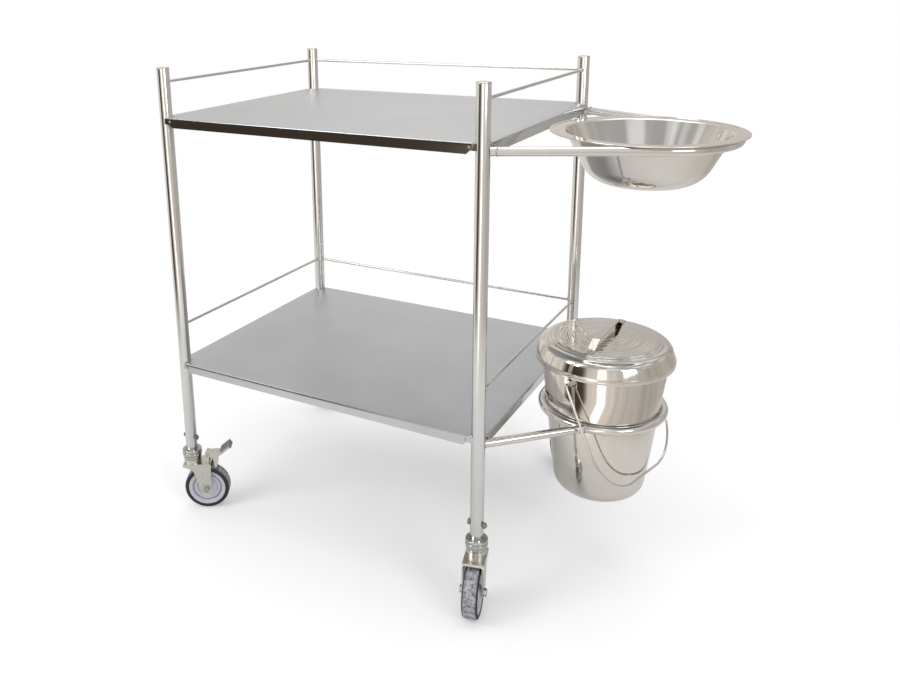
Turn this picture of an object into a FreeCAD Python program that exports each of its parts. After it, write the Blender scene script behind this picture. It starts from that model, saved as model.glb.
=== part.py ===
"""Dressing trolley: four tube legs, two tray shelves with guard rails, a wash bowl in a bent hoop,
a lidded bucket in a welded ring, and four swivel castors of which two have brakes.

Millimetres, +X right along the front edge, +Y to the back, +Z up.
The origin is on the floor, midway between the four legs.
"""
import FreeCAD
import Part

import math
import os
from dataclasses import dataclass

import Sketcher

Vector = FreeCAD.Vector
Rotation = FreeCAD.Rotation
Placement = FreeCAD.Placement
UP = Vector(0, 0, 1)

# Driving dimensions: name, size in mm or degrees, what it is
DIMENSIONS = [
    ("leg_span_x", 694.6, "leg axis to leg axis, left to right"),
    ("leg_span_y", 534.6, "leg axis to leg axis, front to back"),
    ("leg_top", 990.0, "top of the leg caps above the floor"),
    ("leg_foot", 140.0, "bottom of the leg tubes above the floor"),
    ("tube_diameter", 25.4, "leg tube, outside"),
    ("tube_wall", 1.2, "leg tube wall"),
    ("cap_thickness", 2.0, "leg cap above the tube"),
    ("cap_plug", 8.0, "leg cap plug inside the tube"),
    ("plug_clearance", 0.1, "radial clearance of plugs and stems in the tube"),
    ("upper_shelf_drop", 100.0, "upper shelf surface below the top of the legs"),
    ("lower_shelf_top", 355.0, "lower shelf surface above the floor"),
    ("shelf_sheet", 1.2, "shelf sheet thickness"),
    ("shelf_lip", 19.5, "depth of the turned-down edge"),
    ("lip_slant", 12.0, "slanted cut at each end of a lip"),
    ("tab_width", 12.0, "height of a corner tab"),
    ("tab_sheet", 1.5, "corner tab thickness"),
    ("tab_overlap", 18.0, "length of a corner tab behind its lip"),
    ("rivet_inset", 7.0, "rivet to the end of its lip"),
    ("rivet_head", 2.4, "rivet head radius"),
    ("rivet_shank", 1.5, "rivet shank radius"),
    ("rail_diameter", 6.0, "guard rail rod"),
    ("upper_rail_rise", 71.0, "upper rail axis above its shelf"),
    ("lower_rail_rise", 84.0, "lower rail axis above its shelf"),
    ("holder_tube", 16.0, "tube of the bowl hoop and of the bucket ring"),
    ("holder_wall", 1.2, "wall of that tube"),
    ("hoop_radius", 156.0, "bowl hoop, to the tube's axis"),
    ("hoop_reach", 204.0, "bowl axis beyond the right legs"),
    ("hoop_drop", 15.0, "hoop axis below the upper shelf surface"),
    ("ring_radius", 117.0, "bucket ring, to the tube's axis"),
    ("ring_reach", 150.0, "bucket axis beyond the right legs"),
    ("ring_drop", 19.0, "ring axis below the lower shelf surface"),
    ("holder_play", 0.3, "play of the holder tubes in the shelf edges they pass"),
    ("seat_gap", 0.3, "play between a vessel and what carries it"),
    ("vessel_sheet", 1.0, "bowl, bucket and lid sheet"),
    ("bowl_rim_radius", 173.0, "outside of the bowl's flange"),
    ("bowl_mouth_radius", 146.0, "bowl wall where it meets the flange"),
    ("bowl_base_radius", 96.0, "bowl wall carried down to the base, before rounding"),
    ("bowl_base_round", 62.0, "rounding between the bowl's wall and base"),
    ("bowl_depth", 95.0, "bowl below its flange"),
    ("bowl_hem", 5.0, "width of the folded edge of the bowl's flange"),
    ("bucket_rim_radius", 121.0, "bucket wall at its rim"),
    ("bucket_rim_rise", 84.0, "bucket rim above the lower shelf surface"),
    ("bucket_height", 281.0, "bucket, base to rim"),
    ("bucket_base_round", 28.0, "rounding between the bucket's wall and base"),
    ("bucket_bead", 3.0, "radius of the bucket's rolled rim"),
    ("ear_drop", 18.0, "bail axis below the bucket rim"),
    ("ear_azimuth", -105.0, "direction of the front ear, degrees from +X"),
    ("ear_radius", 7.0, "ear boss radius"),
    ("ear_length", 9.0, "ear boss length out of the wall"),
    ("ear_plate", 26.0, "ear pad width"),
    ("bail_wire", 4.5, "bail wire diameter"),
    ("bail_span", 272.0, "bail leg to bail leg"),
    ("bail_depth", 225.0, "bail, ear axis to grip"),
    ("bail_round", 92.0, "bail corner radius"),
    ("bail_hook_round", 7.0, "bend from a bail leg into its ear"),
    ("bail_tilt", 26.5, "bail at rest, degrees off the vertical"),
    ("pin_clearance", 0.1, "radial clearance of a pin in its hole"),
    ("lid_radius", 133.0, "lid at its edge"),
    ("lid_skirt", 4.5, "lid edge below the bucket rim"),
    ("lid_edge_rise", 3.0, "upright edge of the lid above the bucket rim"),
    ("lid_seat_radius", 119.5, "inside of the lid's seating ring"),
    ("lid_shoulder_radius", 122.0, "shoulder of the lid, before rounding"),
    ("lid_shoulder_round", 12.0, "rounding of the lid's shoulder"),
    ("lid_rise", 33.0, "lid shoulder above the bucket rim"),
    ("lid_step", 2.5, "height of each of the two steps on the lid"),
    ("lid_step_radius", 106.0, "outer step on the lid"),
    ("lid_centre_radius", 100.0, "inner step on the lid"),
    ("lid_handle_span", 160.0, "lid handle between its legs"),
    ("lid_handle_height", 15.0, "lid handle above the lid"),
    ("lid_handle_run", 26.0, "sloping end of the lid handle, lengthwise"),
    ("lid_handle_width", 14.0, "lid handle strap width"),
    ("lid_handle_strap", 2.0, "lid handle strap thickness"),
    ("lid_handle_bend", 10.0, "inner bend of the lid handle's strap"),
    ("lid_handle_foot", 18.0, "lid handle foot length"),
    ("lid_handle_azimuth", 87.0, "lid handle direction, degrees from +X"),
    ("wheel_diameter", 100.0, "castor wheel over its tyre"),
    ("wheel_width", 30.0, "tyre width"),
    ("tyre_depth", 9.0, "tyre, radially"),
    ("rim_inset", 2.0, "wheel centre in from the tyre's side"),
    ("web_inset", 4.5, "wheel web in from the rim's side"),
    ("hub_radius", 13.0, "wheel hub"),
    ("castor_trail", 30.0, "swivel axis to wheel axle"),
    ("wheel_room", 9.0, "wheel to fork crown"),
    ("fork_sheet", 2.8, "fork sheet thickness"),
    ("fork_room", 2.5, "hub to fork cheek"),
    ("race_radius", 19.0, "swivel race below the cup"),
    ("race_gap", 0.4, "play between the race and the cup"),
    ("king_pin", 6.0, "king pin radius"),
    ("king_length", 12.0, "king pin into the stem"),
    ("running_clearance", 0.05, "radial clearance of turning shafts"),
    ("cup_radius", 21.5, "castor cup round the leg"),
    ("cup_lip", 4.0, "cup above the foot of the tube"),
    ("cup_height", 18.0, "cup below the foot of the tube"),
    ("stem_length", 58.0, "castor stem inside the leg"),
    ("cross_bolt_rise", 33.0, "cross bolt above the foot of the tube"),
    ("cross_bolt", 3.0, "cross bolt radius"),
    ("cross_head", 5.0, "cross bolt head and nut height"),
    ("axle_radius", 4.0, "wheel axle"),
    ("axle_head", 5.0, "axle head and nut height"),
    ("brake_width", 22.0, "brake lever width"),
    ("brake_play", 0.3, "brake lever beside its ears"),
    ("brake_pivot_x", 34.0, "brake pivot behind the swivel axis"),
    ("brake_pivot_rise", 17.0, "brake pivot above the fork crown"),
    ("brake_pin", 2.5, "brake pin radius"),
    ("brake_shoe_gap", 4.0, "brake shoe to tyre when released"),
    ("lever_sheet", 5.0, "thickness of the lever's raised arm"),
    ("elbow_reach", 32.0, "brake pivot to the foot of the raised arm"),
    ("elbow_rise", 4.0, "foot of the raised arm above the brake pivot"),
    ("pedal_run", 19.0, "slope of the raised arm: across"),
    ("pedal_climb", 16.0, "slope of the raised arm: up"),
    ("pedal_length", 25.0, "length of the raised arm"),
    ("tread", 5.0, "tread thickness on the brake pedal"),
    ("pedal_width", 27.0, "brake pedal width"),
    ("swivel_front_left", 30.5, "castor trail direction, degrees from +X"),
    ("swivel_front_right", -76.0, "castor trail direction, degrees from +X"),
    ("swivel_rear_left", 72.0, "castor trail direction, degrees from +X"),
    ("swivel_rear_right", 128.0, "castor trail direction, degrees from +X"),
]

# The legs: name, side along X, side along Y, braked or not
CORNERS = [
    ("front_left", -1, -1, True),
    ("front_right", 1, -1, False),
    ("rear_left", -1, 1, False),
    ("rear_right", 1, 1, True),
]


@dataclass(frozen=True)
class Size:
    """A number and the sheet expression that gives it."""

    value: float
    text: str

    def joined(self, other, sign, result):
        return Size(result, f"({self.text} {sign} {as_size(other).text})")

    def __add__(self, other):
        return self.joined(other, "+", self.value + as_size(other).value)

    def __sub__(self, other):
        return self.joined(other, "-", self.value - as_size(other).value)

    def __mul__(self, other):
        return self.joined(other, "*", self.value * as_size(other).value)

    def __truediv__(self, other):
        return self.joined(other, "/", self.value / as_size(other).value)

    def __radd__(self, other):
        return as_size(other) + self

    def __rsub__(self, other):
        return as_size(other) - self

    def __rmul__(self, other):
        return as_size(other) * self

    def __neg__(self):
        return as_size(0) - self


def as_size(number):
    """A Size as it is, or a plain number as a Size."""
    if isinstance(number, Size):
        return number
    return Size(float(number), f"({float(number)})")


def root(size):
    """Square root of a Size."""
    return Size(math.sqrt(size.value), f"sqrt({size.text})")


def cosine(angle):
    """Cosine of a Size in degrees."""
    return Size(math.cos(math.radians(angle.value)), f"cos({angle.text})")


def sine(angle):
    """Sine of a Size in degrees."""
    return Size(math.sin(math.radians(angle.value)), f"sin({angle.text})")


def heading(across, along):
    """Direction of (across, along) in degrees from +X."""
    angle = math.degrees(math.atan2(along.value, across.value))
    return Size(angle, f"atan2({along.text}; {across.text})")


doc = FreeCAD.newDocument("DressingTrolley")
sheet = doc.addObject("Spreadsheet::Sheet", "Sizes")
for row, (alias, number, meaning) in enumerate(DIMENSIONS, start=1):
    sheet.set(f"A{row}", alias)
    sheet.set(f"B{row}", str(number))
    sheet.set(f"C{row}", meaning)
    sheet.setAlias(f"B{row}", alias)
doc.recompute()
S = {alias: Size(float(sheet.get(alias)), f"Sizes.{alias}") for alias, _, _ in DIMENSIONS}
nodes = {}


def bind(target, path, size):
    """Tie one property of an object to the sheet."""
    target.setExpression(path, as_size(size).text)


def place(target, x=0, y=0, z=0, turn=None):
    """Put an object at (x, y, z), turned about +Z by an angle."""
    angle = as_size(turn if turn is not None else 0)
    spot = Vector(as_size(x).value, as_size(y).value, as_size(z).value)
    target.Placement = Placement(spot, Rotation(UP, angle.value))
    bind(target, "Placement.Base.x", x)
    bind(target, "Placement.Base.y", y)
    bind(target, "Placement.Base.z", z)
    if turn is not None:
        bind(target, "Placement.Rotation.Angle", angle)


def node(target, label):
    """Name an object as a sub-part to be written."""
    target.Label = label
    nodes[label] = target
    return target


def new_body(name):
    """An empty body."""
    return doc.addObject("PartDesign::Body", name)


def origin_plane(body, role):
    """One of a body's own origin planes."""
    return next(feature for feature in body.Origin.OriginFeatures if feature.Role == role)


def new_sketch(body, role, offset=None):
    """A sketch on an origin plane of the body, moved along the plane's normal."""
    sketch = body.newObject("Sketcher::SketchObject", body.Name + "Sketch")
    sketch.AttachmentSupport = (origin_plane(body, role), "")
    sketch.MapMode = "FlatFace"
    if offset is not None:
        sketch.AttachmentOffset = Placement(Vector(0, 0, as_size(offset).value), Rotation())
        bind(sketch, "AttachmentOffset.Base.z", offset)
    return sketch


def pin_point(sketch, geometry, point, x, y):
    """Fix a point of a sketch at (x, y)."""
    for kind, size in (("DistanceX", as_size(x)), ("DistanceY", as_size(y))):
        index = sketch.addConstraint(
            Sketcher.Constraint(kind, -1, 1, geometry, point, size.value)
        )
        bind(sketch, f"Constraints[{index}]", size)


def draw_circle(sketch, radius, x=0, y=0):
    """A circle held by its centre and radius."""
    centre = Vector(as_size(x).value, as_size(y).value, 0)
    index = sketch.addGeometry(Part.Circle(centre, UP, as_size(radius).value), False)
    pin_point(sketch, index, 3, x, y)
    held = sketch.addConstraint(Sketcher.Constraint("Radius", index, as_size(radius).value))
    bind(sketch, f"Constraints[{held}]", radius)


def corner_arc(before, corner, after, radius):
    """Start, end and centre of the arc that rounds a corner, and whether it turns left."""
    back = (before - corner).normalize()
    ahead = (after - corner).normalize()
    half = back.getAngle(ahead) / 2
    run = radius / math.tan(half)
    centre = corner + (back + ahead).normalize() * (radius / math.sin(half))
    left = back.cross(ahead).z < 0
    return corner + back * run, corner + ahead * run, centre, left


def draw_outline(sketch, corners, closed=True):
    """Straight sides through (x, y) or (x, y, radius) corners; a radius makes a tangent arc."""
    count = len(corners)
    points = [Vector(as_size(c[0]).value, as_size(c[1]).value, 0) for c in corners]
    rounds = [as_size(c[2]) if len(c) > 2 else None for c in corners]
    starts, ends, arcs = list(points), list(points), {}
    for i, radius in enumerate(rounds):
        if radius is not None:
            before, after = points[i - 1], points[(i + 1) % count]
            arrive, leave, centre, left = corner_arc(before, points[i], after, radius.value)
            ends[i], starts[i], arcs[i] = arrive, leave, (centre, left)
    sides = count if closed else count - 1
    lines = [
        sketch.addGeometry(Part.LineSegment(starts[i], ends[(i + 1) % count]), False)
        for i in range(sides)
    ]
    for i in range(count):
        inward = lines[i - 1] if closed or i > 0 else None
        outward = lines[i] if i < sides else None
        if rounds[i] is None:
            if inward is not None and outward is not None:
                sketch.addConstraint(Sketcher.Constraint("Coincident", inward, 2, outward, 1))
            held = (outward, 1) if outward is not None else (inward, 2)
            pin_point(sketch, held[0], held[1], corners[i][0], corners[i][1])
            continue
        centre, left = arcs[i]
        first, last = (ends[i], starts[i]) if left else (starts[i], ends[i])
        angles = [math.atan2(p.y - centre.y, p.x - centre.x) for p in (first, last)]
        circle = Part.Circle(centre, UP, rounds[i].value)
        arc = sketch.addGeometry(Part.ArcOfCircle(circle, angles[0], angles[1]), False)
        near, far = (1, 2) if left else (2, 1)
        sketch.addConstraint(Sketcher.Constraint("Tangent", inward, 2, arc, near))
        sketch.addConstraint(Sketcher.Constraint("Tangent", arc, far, outward, 1))
        held = sketch.addConstraint(Sketcher.Constraint("Radius", arc, rounds[i].value))
        bind(sketch, f"Constraints[{held}]", rounds[i])
        mark = sketch.addGeometry(Part.Point(points[i]), True)
        sketch.addConstraint(Sketcher.Constraint("PointOnObject", mark, 1, inward))
        sketch.addConstraint(Sketcher.Constraint("PointOnObject", mark, 1, outward))
        pin_point(sketch, mark, 1, corners[i][0], corners[i][1])


def pad(body, sketch, length, midplane=False, reverse=False):
    """Extrude a sketch into the body."""
    feature = body.newObject("PartDesign::Pad", body.Name + "Pad")
    feature.Profile = (sketch, [""])
    feature.Midplane = midplane
    feature.Reversed = reverse
    bind(feature, "Length", length)
    return feature


def pocket(body, sketch, depth=None, reverse=False):
    """Cut a sketch out of the body, right through when no depth is given."""
    feature = body.newObject("PartDesign::Pocket", body.Name + "Pocket")
    feature.Profile = (sketch, [""])
    feature.Reversed = reverse
    if depth is None:
        feature.Type = "ThroughAll"
        feature.Midplane = True
    else:
        bind(feature, "Length", depth)
    return feature


def revolve(body, sketch, axis="V_Axis"):
    """Turn a sketch a full circle about one of its axes."""
    feature = body.newObject("PartDesign::Revolution", body.Name + "Revolution")
    feature.Profile = (sketch, [""])
    feature.ReferenceAxis = (sketch, [axis])
    feature.Angle = 360
    return feature


def turned(name, corners, role="XZ_Plane"):
    """A body of revolution about the vertical axis of the plane."""
    body = new_body(name)
    sketch = new_sketch(body, role)
    draw_outline(sketch, corners)
    revolve(body, sketch)
    return body


def plate(name, corners, width, role="XZ_Plane"):
    """A flat piece: an outline extruded evenly to both sides of its plane."""
    body = new_body(name)
    sketch = new_sketch(body, role)
    draw_outline(sketch, corners)
    pad(body, sketch, width, midplane=True)
    return body


def rod(name, radius, length, bore=None):
    """A round bar or tube along +X from the body's origin."""
    body = new_body(name)
    sketch = new_sketch(body, "YZ_Plane")
    draw_circle(sketch, radius)
    if bore is not None:
        draw_circle(sketch, bore)
    pad(body, sketch, length)
    return body


def cylinder(name, radius, height):
    """A plain cylinder along +Z."""
    solid = doc.addObject("Part::Cylinder", name)
    bind(solid, "Radius", radius)
    bind(solid, "Height", height)
    return solid


def cut(name, base, tool):
    """One shape less another."""
    result = doc.addObject("Part::Cut", name)
    result.Base = base
    result.Tool = tool
    return result


def fused(name, shapes):
    """Several shapes as one solid."""
    result = doc.addObject("Part::MultiFuse", name)
    result.Shapes = shapes
    return result


def repeated(label, source, spots):
    """Copies of one solid as one sub-part, each at its own placement."""
    doc.recompute()
    shape = source.Shape
    result = doc.addObject("Part::Feature", label)
    result.Shape = Part.makeCompound([placed(shape, spot) for spot in spots])
    result.Placement = Placement()
    return node(result, label)


def placed(shape, spot):
    """A moved copy of a shape."""
    copy = shape.copy()
    copy.Placement = spot.multiply(shape.Placement)
    return copy


def hexagon(sketch, across):
    """A regular hexagon, with the distance across its flats."""
    reach = across / 2
    side = across * (1 / math.sqrt(3))
    corners = [
        (side, 0),
        (side / 2, reach),
        (-side / 2, reach),
        (-side, 0),
        (-side / 2, -reach),
        (side / 2, -reach),
    ]
    draw_outline(sketch, corners)


# Sizes that several sub-parts share
leg_x = S["leg_span_x"] / 2
leg_y = S["leg_span_y"] / 2
tube_radius = S["tube_diameter"] / 2
tube_bore = tube_radius - S["tube_wall"]
holder_radius = S["holder_tube"] / 2
bowl_x = leg_x + S["hoop_reach"]
bucket_x = leg_x + S["ring_reach"]
upper_top = S["leg_top"] - S["upper_shelf_drop"]
hoop_z = upper_top - S["hoop_drop"]
ring_z = S["lower_shelf_top"] - S["ring_drop"]
rim_z = S["lower_shelf_top"] + S["bucket_rim_rise"]
ear_z = rim_z - S["ear_drop"]
bolt_z = S["leg_foot"] + S["cross_bolt_rise"]
wheel_radius = S["wheel_diameter"] / 2
crown_under = S["wheel_diameter"] + S["wheel_room"]
crown_top = crown_under + S["fork_sheet"]
cup_under = S["leg_foot"] - S["cup_height"]
cheek_inside = S["wheel_width"] / 2 + S["fork_room"]
cheek_outside = cheek_inside + S["fork_sheet"]
pivot_x = S["brake_pivot_x"]
pivot_z = crown_top + S["brake_pivot_rise"]
ear_inside = S["brake_width"] / 2 + S["brake_play"]
elbow_x = pivot_x + S["elbow_reach"]
elbow_z = pivot_z + S["elbow_rise"]
lid_top = rim_z + S["seat_gap"] + S["lid_rise"] + S["lid_step"] * 2


# Legs, their caps and the envelope that rods and tabs are cut back to
def make_legs():
    solids = []
    for name, side_x, side_y, _ in CORNERS:
        body = new_body("Leg")
        section = new_sketch(body, "XY_Plane")
        draw_circle(section, tube_radius)
        draw_circle(section, tube_bore)
        pad(body, section, S["leg_top"] - S["cap_thickness"] - S["leg_foot"])
        hole = new_sketch(body, "YZ_Plane")
        draw_circle(hole, S["cross_bolt"] + S["pin_clearance"], 0, S["cross_bolt_rise"])
        pocket(body, hole)
        place(body, leg_x * side_x, leg_y * side_y, S["leg_foot"])
        node(body, f"leg_{name}")
        solid = cylinder("LegEnvelope", tube_radius, S["leg_top"])
        place(solid, leg_x * side_x, leg_y * side_y, 0)
        solids.append(solid)
    return fused("LegEnvelopes", solids)


def corner_spots(height):
    """The four leg axes at one height."""
    return [
        Placement(Vector(leg_x.value * sx, leg_y.value * sy, height.value), Rotation())
        for _, sx, sy, _ in CORNERS
    ]


def make_leg_caps():
    plug = tube_bore - S["plug_clearance"]
    cap = turned(
        "LegCap",
        [
            (0, -S["cap_plug"]),
            (plug, -S["cap_plug"]),
            (plug, 0),
            (tube_radius, 0),
            (tube_radius, S["cap_thickness"], S["cap_thickness"] / 2),
            (0, S["cap_thickness"]),
        ],
    )
    repeated("leg_caps", cap, corner_spots(S["leg_top"] - S["cap_thickness"]))


# Shelves
def make_shelf(label, top, holes):
    half_x = leg_x + tube_radius
    half_y = leg_y + tube_radius
    notch_x = half_x - S["tube_diameter"]
    notch_y = half_y - S["tube_diameter"]
    body = new_body("Shelf")
    outline = new_sketch(body, "XY_Plane")
    draw_outline(outline, cross_corners(half_x, half_y, notch_x, notch_y))
    pad(body, outline, S["shelf_lip"], reverse=True)
    hollow = new_sketch(body, "XY_Plane", -S["shelf_lip"])
    inner_x = half_x - S["shelf_sheet"]
    inner_y = half_y - S["shelf_sheet"]
    draw_outline(hollow, cross_corners(inner_x, inner_y, notch_x, notch_y))
    pocket(body, hollow, S["shelf_lip"] - S["shelf_sheet"], reverse=True)
    for role, end in (("XZ_Plane", notch_x), ("YZ_Plane", notch_y)):
        for side in (-1, 1):
            slant = new_sketch(body, role)
            draw_outline(
                slant,
                [
                    (end * side, -S["shelf_lip"]),
                    ((end - S["lip_slant"]) * side, -S["shelf_lip"]),
                    (end * side, S["lip_slant"] - S["shelf_lip"]),
                ],
            )
            pocket(body, slant)
    place(body, 0, 0, top)
    return node(cut("ShelfPierced", body, holes), label)


def cross_corners(half_x, half_y, notch_x, notch_y):
    """A rectangle with its four corners notched."""
    return [
        (half_x, -notch_y),
        (half_x, notch_y),
        (notch_x, notch_y),
        (notch_x, half_y),
        (-notch_x, half_y),
        (-notch_x, notch_y),
        (-half_x, notch_y),
        (-half_x, -notch_y),
        (-notch_x, -notch_y),
        (-notch_x, -half_y),
        (notch_x, -half_y),
        (notch_x, -notch_y),
    ]


def make_tabs(label, top, envelope, holes):
    """Corner tabs: short strips behind the lips, each running on to its leg."""
    rise = top - S["shelf_sheet"] - S["tab_width"]
    tabs = []
    for _, side_x, side_y, _ in CORNERS:
        for along_x in (True, False):
            tab = doc.addObject("Part::Box", "Tab")
            reach = S["tab_overlap"] + tube_radius
            length, depth = (reach, S["tab_sheet"]) if along_x else (S["tab_sheet"], reach)
            bind(tab, "Length", length)
            bind(tab, "Width", depth)
            bind(tab, "Height", S["tab_width"])
            edge = tube_radius - S["shelf_sheet"]
            far_x = leg_x if along_x else leg_x + edge
            far_y = leg_y + edge if along_x else leg_y
            x = far_x - length if side_x > 0 else -far_x
            y = far_y - depth if side_y > 0 else -far_y
            place(tab, x, y, rise)
            tabs.append(cut("TabPierced", cut("TabCoped", tab, envelope), holes))
    group = doc.addObject("Part::Compound", label)
    group.Links = tabs
    return node(group, label)


def make_rivet():
    """A dome-headed rivet along +Z, with its head's flat face at the origin."""
    shank = S["shelf_sheet"] + S["tab_sheet"]
    return turned(
        "Rivet",
        [
            (0, -shank),
            (S["rivet_shank"], -shank),
            (S["rivet_shank"], 0),
            (S["rivet_head"], 0),
            (S["rivet_head"], S["rivet_head"] * 0.6, S["rivet_head"] * 0.5),
            (0, S["rivet_head"] * 0.6),
        ],
    )


def make_shelf_rivets():
    spots = []
    end_x = leg_x.value - tube_radius.value - S["rivet_inset"].value
    end_y = leg_y.value - tube_radius.value - S["rivet_inset"].value
    face_x = leg_x.value + tube_radius.value
    face_y = leg_y.value + tube_radius.value
    for top in (upper_top, S["lower_shelf_top"]):
        z = top.value - S["shelf_sheet"].value - S["tab_width"].value / 2
        for _, sx, sy, _ in CORNERS:
            out_x = Rotation(UP, Vector(sx, 0, 0))
            out_y = Rotation(UP, Vector(0, sy, 0))
            spots.append(Placement(Vector(face_x * sx, end_y * sy, z), out_x))
            spots.append(Placement(Vector(end_x * sx, face_y * sy, z), out_y))
    repeated("shelf_rivets", make_rivet(), spots)


def shelf_cutters():
    """What is cut out of the shelf edges and tabs: rivet holes and room for the holders."""
    cutters = make_holder_room()
    inset = tube_radius + S["rivet_inset"]
    hole = S["rivet_shank"]
    for top in (upper_top, S["lower_shelf_top"]):
        z = top - S["shelf_sheet"] - S["tab_width"] / 2
        for side in (-1, 1):
            along_x = rod("RivetHoleX", hole, S["leg_span_x"] * 2)
            place(along_x, -S["leg_span_x"], (leg_y - inset) * side, z)
            along_y = rod("RivetHoleY", hole, S["leg_span_y"] * 2)
            place(along_y, (leg_x - inset) * side, -S["leg_span_y"], z, turn=90)
            cutters += [along_x, along_y]
    return fused("ShelfCutters", cutters)


# Guard rails
def make_rails(envelope):
    for level, top, rise in (
        ("upper", upper_top, S["upper_rail_rise"]),
        ("lower", S["lower_shelf_top"], S["lower_rail_rise"]),
    ):
        for side, x, y, length, turn in (
            ("left", -leg_x, -leg_y, S["leg_span_y"], 90),
            ("right", leg_x, -leg_y, S["leg_span_y"], 90),
            ("rear", -leg_x, leg_y, S["leg_span_x"], 0),
        ):
            bar = rod("Rail", S["rail_diameter"] / 2, length)
            place(bar, x, y, top + rise, turn=turn)
            node(cut("RailCoped", bar, envelope), f"{level}_rail_{side}")


# Bowl hoop: one tube bent from the front right leg round the bowl to the rear right leg
def hoop_touch():
    """Where the front straight meets the round, measured from the bowl's axis."""
    reach = S["hoop_reach"]
    radius = S["hoop_radius"]
    far = reach * reach + leg_y * leg_y
    straight = root(far - radius * radius)
    x = (radius * leg_y * straight - radius * radius * reach) / far
    y = -(radius * radius * leg_y + radius * reach * straight) / far
    return x, y


def make_bowl_hoop(envelope):
    reach = S["hoop_reach"]
    radius = S["hoop_radius"]
    touch_x, touch_y = hoop_touch()
    body = new_body("BowlHoop")
    path = new_sketch(body, "XY_Plane")
    start = Vector(-reach.value, -leg_y.value, 0)
    touch = Vector(touch_x.value, touch_y.value, 0)
    low = math.atan2(touch.y, touch.x)
    circle = Part.Circle(Vector(), UP, radius.value)
    front = path.addGeometry(Part.LineSegment(start, touch), False)
    arc = path.addGeometry(Part.ArcOfCircle(circle, low, -low), False)
    mirrored = [Vector(touch.x, -touch.y, 0), Vector(start.x, -start.y, 0)]
    rear = path.addGeometry(Part.LineSegment(*mirrored), False)
    path.addConstraint(Sketcher.Constraint("Tangent", front, 2, arc, 1))
    path.addConstraint(Sketcher.Constraint("Tangent", arc, 2, rear, 1))
    pin_point(path, arc, 3, 0, 0)
    held = path.addConstraint(Sketcher.Constraint("Radius", arc, radius.value))
    bind(path, f"Constraints[{held}]", radius)
    pin_point(path, front, 1, -reach, -leg_y)
    pin_point(path, rear, 2, -reach, leg_y)
    sweep_along(body, path, holder_radius, holder_radius - S["holder_wall"])
    place(body, bowl_x, 0, hoop_z)
    node(cut("HoopCoped", body, envelope), "bowl_hoop")


def sweep_along(body, path, radius, bore=None):
    """Sweep a round section, hollow where there is a bore, along the whole of a path sketch."""
    doc.recompute()
    section = body.newObject("Sketcher::SketchObject", body.Name + "Section")
    section.AttachmentSupport = [(path, "Edge1")]
    section.MapMode = "NormalToEdge"
    section.MapPathParameter = 0
    draw_circle(section, radius)
    if bore is not None:
        draw_circle(section, bore)
    feature = body.newObject("PartDesign::AdditivePipe", body.Name + "Pipe")
    feature.Profile = (section, [""])
    count = len(path.Shape.Edges)
    feature.Spine = (path, [f"Edge{i + 1}" for i in range(count)])
    return feature


def make_holder_room():
    """The space that the hoop and the ring's arms need where they pass the shelf edges."""
    touch_x, touch_y = hoop_touch()
    across = {hoop_z: S["hoop_reach"] + touch_x, ring_z: S["ring_reach"]}
    along = {hoop_z: leg_y + touch_y, ring_z: leg_y - S["ring_radius"]}
    rooms = []
    for height in (hoop_z, ring_z):
        for side in (-1, 1):
            room = rod("HolderRoom", holder_radius + S["holder_play"], S["holder_tube"] * 4)
            turn = heading(across[height], along[height] * -side)
            place(room, leg_x, leg_y * side, height, turn=turn)
            rooms.append(room)
    return rooms


# Bucket ring and the two tubes that carry it
def make_bucket_ring(envelope):
    torus = doc.addObject("Part::Torus", "BucketRing")
    bind(torus, "Radius1", S["ring_radius"])
    bind(torus, "Radius2", holder_radius)
    place(torus, bucket_x, 0, ring_z)
    node(torus, "bucket_ring")
    across = S["ring_reach"]
    along = leg_y - S["ring_radius"]
    length = root(across * across + along * along)
    for name, side in (("front", -1), ("rear", 1)):
        arm = rod("RingArm", holder_radius, length, holder_radius - S["holder_wall"])
        place(arm, leg_x, leg_y * side, ring_z, turn=heading(across, along * -side))
        coped = cut("RingArmCoped", arm, envelope)
        node(cut("RingArmFitted", coped, torus), f"bucket_arm_{name}")


# Bowl
def make_bowl():
    sheet_t = S["vessel_sheet"]
    rim = S["bowl_rim_radius"]
    mouth = S["bowl_mouth_radius"]
    base = S["bowl_base_radius"]
    deep = -S["bowl_depth"]
    corner = S["bowl_base_round"]
    shoulder = sheet_t * 5
    bowl = turned(
        "Bowl",
        [
            (0, deep),
            (base, deep, corner),
            (mouth, 0, shoulder),
            (rim, 0, sheet_t * 0.9),
            (rim, sheet_t * 2, sheet_t * 0.9),
            (rim - S["bowl_hem"], sheet_t * 2),
            (rim - S["bowl_hem"], sheet_t),
            (mouth - sheet_t, sheet_t, shoulder + sheet_t),
            (base - sheet_t, deep + sheet_t, corner - sheet_t),
            (0, deep + sheet_t),
        ],
    )
    place(bowl, bowl_x, 0, hoop_z + holder_radius + S["seat_gap"])
    node(bowl, "bowl")


# Bucket
def bucket_wall(below):
    """Bucket wall radius at a distance below the rim: the taper seats in the ring."""
    seat = S["ring_radius"] - holder_radius - S["seat_gap"] * 1.5
    drop = rim_z - ring_z
    return S["bucket_rim_radius"] - (S["bucket_rim_radius"] - seat) * below / drop


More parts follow.
